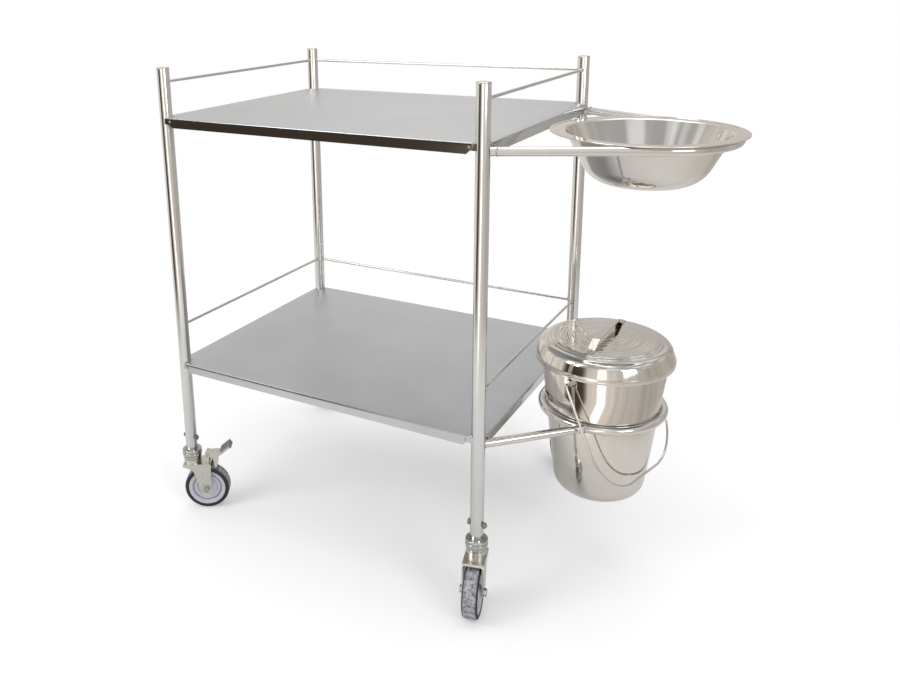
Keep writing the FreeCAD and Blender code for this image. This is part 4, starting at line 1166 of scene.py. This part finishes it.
@dataclass
class Studio:
    """Floor, light and camera."""

    lens: float = 35.354
    shift: tuple[float, float] = (0.08, -0.13)
    eye: tuple[float, float, float] = (0.9173, -1.6010, 1.1486)
    yaw: float = -30.075
    pitch: float = 15.119
    roll: float = -0.898
    floor_size: float = 80.0
    floor_glow: float = 0.2
    sweep: tuple[float, float] = (0.9, 2.2)
    metal_sweep: tuple[float, float] = (0.9, 2.1)
    ambient: float = 0.75
    aim: tuple[float, float, float] = (0.1, 0.0, 0.5)
    # painted dark reflections: sides of the mirrored room made darker, the first of them tinted brown
    dark_sides: tuple[tuple[tuple[float, float, float], float, float, float], ...] = (
        ((-0.559, -0.829, 0.0), 0.91, 0.985, 0.15),
        ((0.906, 0.423, 0.0), -0.45, 0.95, 0.58),
        ((-0.3, 0.954, 0.0), -0.1, 0.7, 0.86),
    )
    # a painted highlight: a bright strip in the walls of the mirrored room
    strip_side: tuple[float, float, float] = (0.208, -0.978, 0.0)
    strip_edge: tuple[float, float] = (0.988, 0.998)
    strip_level: float = 1.6
    wall_panels: float = 2.6
    wall_levels: tuple[float, float] = (0.86, 1.18)
    wall_tone: str = "FFFAF4"
    # the brown tint of the painted dark reflection on the first dark side
    painted_dark_reflection_tone: str = "A88865"
    ceiling_patches: float = 3.4
    ceiling_levels: tuple[float, float] = (0.60, 1.14)
    ceiling_edge: tuple[float, float] = (0.25, 0.65)
    ceiling_tone: str = "F5F8FC"

    def build_camera(self) -> None:
        """Put the camera at the photograph's viewpoint."""
        yaw, pitch, roll = (math.radians(angle) for angle in (self.yaw, self.pitch, self.roll))
        ahead = Vector((math.sin(yaw) * math.cos(pitch), math.cos(yaw) * math.cos(pitch), -math.sin(pitch)))
        level = Vector((math.cos(yaw), -math.sin(yaw), 0))
        upright = level.cross(ahead)
        right = level * math.cos(roll) + upright * math.sin(roll)
        up = upright * math.cos(roll) - level * math.sin(roll)
        data = bpy.data.cameras.new("camera")
        data.sensor_width = 36.0
        data.lens = self.lens
        data.shift_x, data.shift_y = self.shift
        data.clip_end = 200
        camera = add_object("camera", data)
        turn = Matrix((right, up, -ahead)).transposed().to_4x4()
        camera.matrix_world = Matrix.Translation(self.eye) @ turn
        bpy.context.scene.camera = camera

    def room(
        self, tree: Tree, way: Socket
    ) -> tuple[Socket, Socket]:
        """The painted reflection of a room that only polished metal shows: warm walls with darker sides, the
        first tinted brown, a bright strip, and a cool uneven ceiling.

        Args:
            tree: the node tree.
            way: the direction from the trolley.

        Returns:
            The colour and the brightness in that direction.
        """
        flat = stretch(tree, way, (1, 1, 0))
        wall = add_node(tree, "ShaderNodeVectorMath", {"operation": "NORMALIZE"}, {0: flat}).outputs[0]
        level = fit(tree, noise(tree, wall, self.wall_panels, 2.0, 0.6), (0.38, 0.62), self.wall_levels)
        shades = []
        for side, begin, end, low in self.dark_sides:
            shades.append(ease(tree, toward(tree, wall, side), (begin, end), (1.0, low)))
            level = calculate(tree, "MULTIPLY", level, shades[-1])
        lit = toward(tree, wall, self.strip_side)
        strip = ease(tree, lit, self.strip_edge, (0.0, self.strip_level))
        walls = calculate(tree, "ADD", level, strip)
        patches = noise(tree, way, self.ceiling_patches, 1.0, 0.5)
        ceiling = fit(tree, patches, (0.40, 0.60), self.ceiling_levels)
        over = fit(tree, height_of(tree, way), self.ceiling_edge)
        both = {0: over, 2: walls, 3: ceiling}
        brightness = add_node(tree, "ShaderNodeMix", {"data_type": "FLOAT"}, both).outputs[0]
        # painted dark reflection: brown towards the first dark side, warm white elsewhere
        tint = blend(tree, shades[0], self.painted_dark_reflection_tone, self.wall_tone)
        return blend(tree, over, tint, self.ceiling_tone), brightness

    def build_floor(self) -> None:
        """Lay a plain pale floor that stays white to the camera and keeps the shadow; further out it glows
        to metal with the painted reflection of the room.
        """
        half = self.floor_size / 2
        mesh = bpy.data.meshes.new("floor")
        mesh.from_pydata(
            [(-half, -half, 0), (half, -half, 0), (half, half, 0), (-half, half, 0)], [], [(0, 1, 2, 3)]
        )
        floor = add_object("floor", mesh)
        material, tree, shader = add_material("matt_white_floor")
        tree.nodes.remove(shader)
        ray = add_node(tree, "ShaderNodeLightPath").outputs
        spot = add_node(tree, "ShaderNodeTexCoord").outputs["Object"]
        reach = reach_of(tree, spot)
        matt = add_node(tree, "ShaderNodeBsdfDiffuse", {"Color": linear("EAEAEA")})
        glow = add_node(tree, "ShaderNodeEmission", {"Color": linear("FFFFFF"), "Strength": self.floor_glow})
        lit = add_node(tree, "ShaderNodeAddShader", {}, {0: matt.outputs[0], 1: glow.outputs[0]})
        white = add_node(tree, "ShaderNodeEmission", {"Color": linear("FFFFFF"), "Strength": 1.0})
        to_camera = choose(tree, ease(tree, reach, self.sweep), lit, white)
        # painted reflection: further out, metal sees the floor glow with the mirrored room
        tint, level = self.room(tree, spot)
        room = add_node(tree, "ShaderNodeEmission", {}, {"Color": tint, "Strength": level})
        to_metal = choose(tree, ease(tree, reach, self.metal_sweep), matt, room)
        by_gloss = choose(tree, ray["Is Glossy Ray"], matt, to_metal)
        seen = choose(tree, ray["Is Camera Ray"], by_gloss, to_camera)
        tree.links.new(seen.outputs[0], tree.nodes["Material Output"].inputs[0])
        mesh.materials.append(material)

    def build_world(self) -> None:
        """Surround the trolley with a white backdrop to the camera and a soft grey room to metal."""
        world = bpy.data.worlds.new("studio_room")
        world.use_nodes = True
        bpy.context.scene.world = world
        tree = world.node_tree
        base = tree.nodes["Background"]
        base.inputs["Color"].default_value = linear("FFFFFF")
        base.inputs["Strength"].default_value = self.ambient
        ray = add_node(tree, "ShaderNodeLightPath").outputs
        tint, level = self.room(tree, add_node(tree, "ShaderNodeTexCoord").outputs["Generated"])
        room = add_node(tree, "ShaderNodeBackground", {}, {"Color": tint, "Strength": level})
        by_gloss = choose(tree, ray["Is Glossy Ray"], base, room)
        white = add_node(tree, "ShaderNodeBackground", {"Color": linear("FFFFFF"), "Strength": 1.0})
        seen = choose(tree, ray["Is Camera Ray"], by_gloss, white)
        tree.links.new(seen.outputs[0], tree.nodes["World Output"].inputs[0])

    def build_lamps(self) -> None:
        """Hang the soft boxes."""
        boxes = (
            ("key_box", (-1.8, -2.6, 2.6), 1.6, 40.0),
            ("fill_box", (3.0, -1.6, 1.8), 1.2, 20.0),
            ("top_box", (0.2, 0.4, 3.2), 2.4, 30.0),
        )
        for name, spot, size, power in boxes:
            data = bpy.data.lights.new(name, "AREA")
            data.shape = "SQUARE"
            data.size = size
            data.energy = power
            lamp = add_object(name, data)
            lamp.matrix_world = turned_to(Vector(spot) - Vector(self.aim), Vector(spot))

    def build(self) -> None:
        """Set the scene's colour handling and build floor, light and camera."""
        bpy.context.scene.view_settings.view_transform = "Standard"
        self.build_floor()
        self.build_world()
        self.build_lamps()
        self.build_camera()


def main() -> None:
    """Build the trolley and its studio."""
    logging.basicConfig(level=logging.INFO, format="%(name)s: %(message)s")
    finishes = Finishes()
    Frame(finishes).build()
    Shelves(finishes).build()
    Bowl(finishes).build()
    Bucket(finishes).build()
    for corner in CORNERS:
        Castor(finishes, corner).build()
    dress("cross_bolts", finishes.fastener)
    dress("cross_nuts", finishes.fastener)
    Studio().build()


if __name__ == "__main__":
    main()
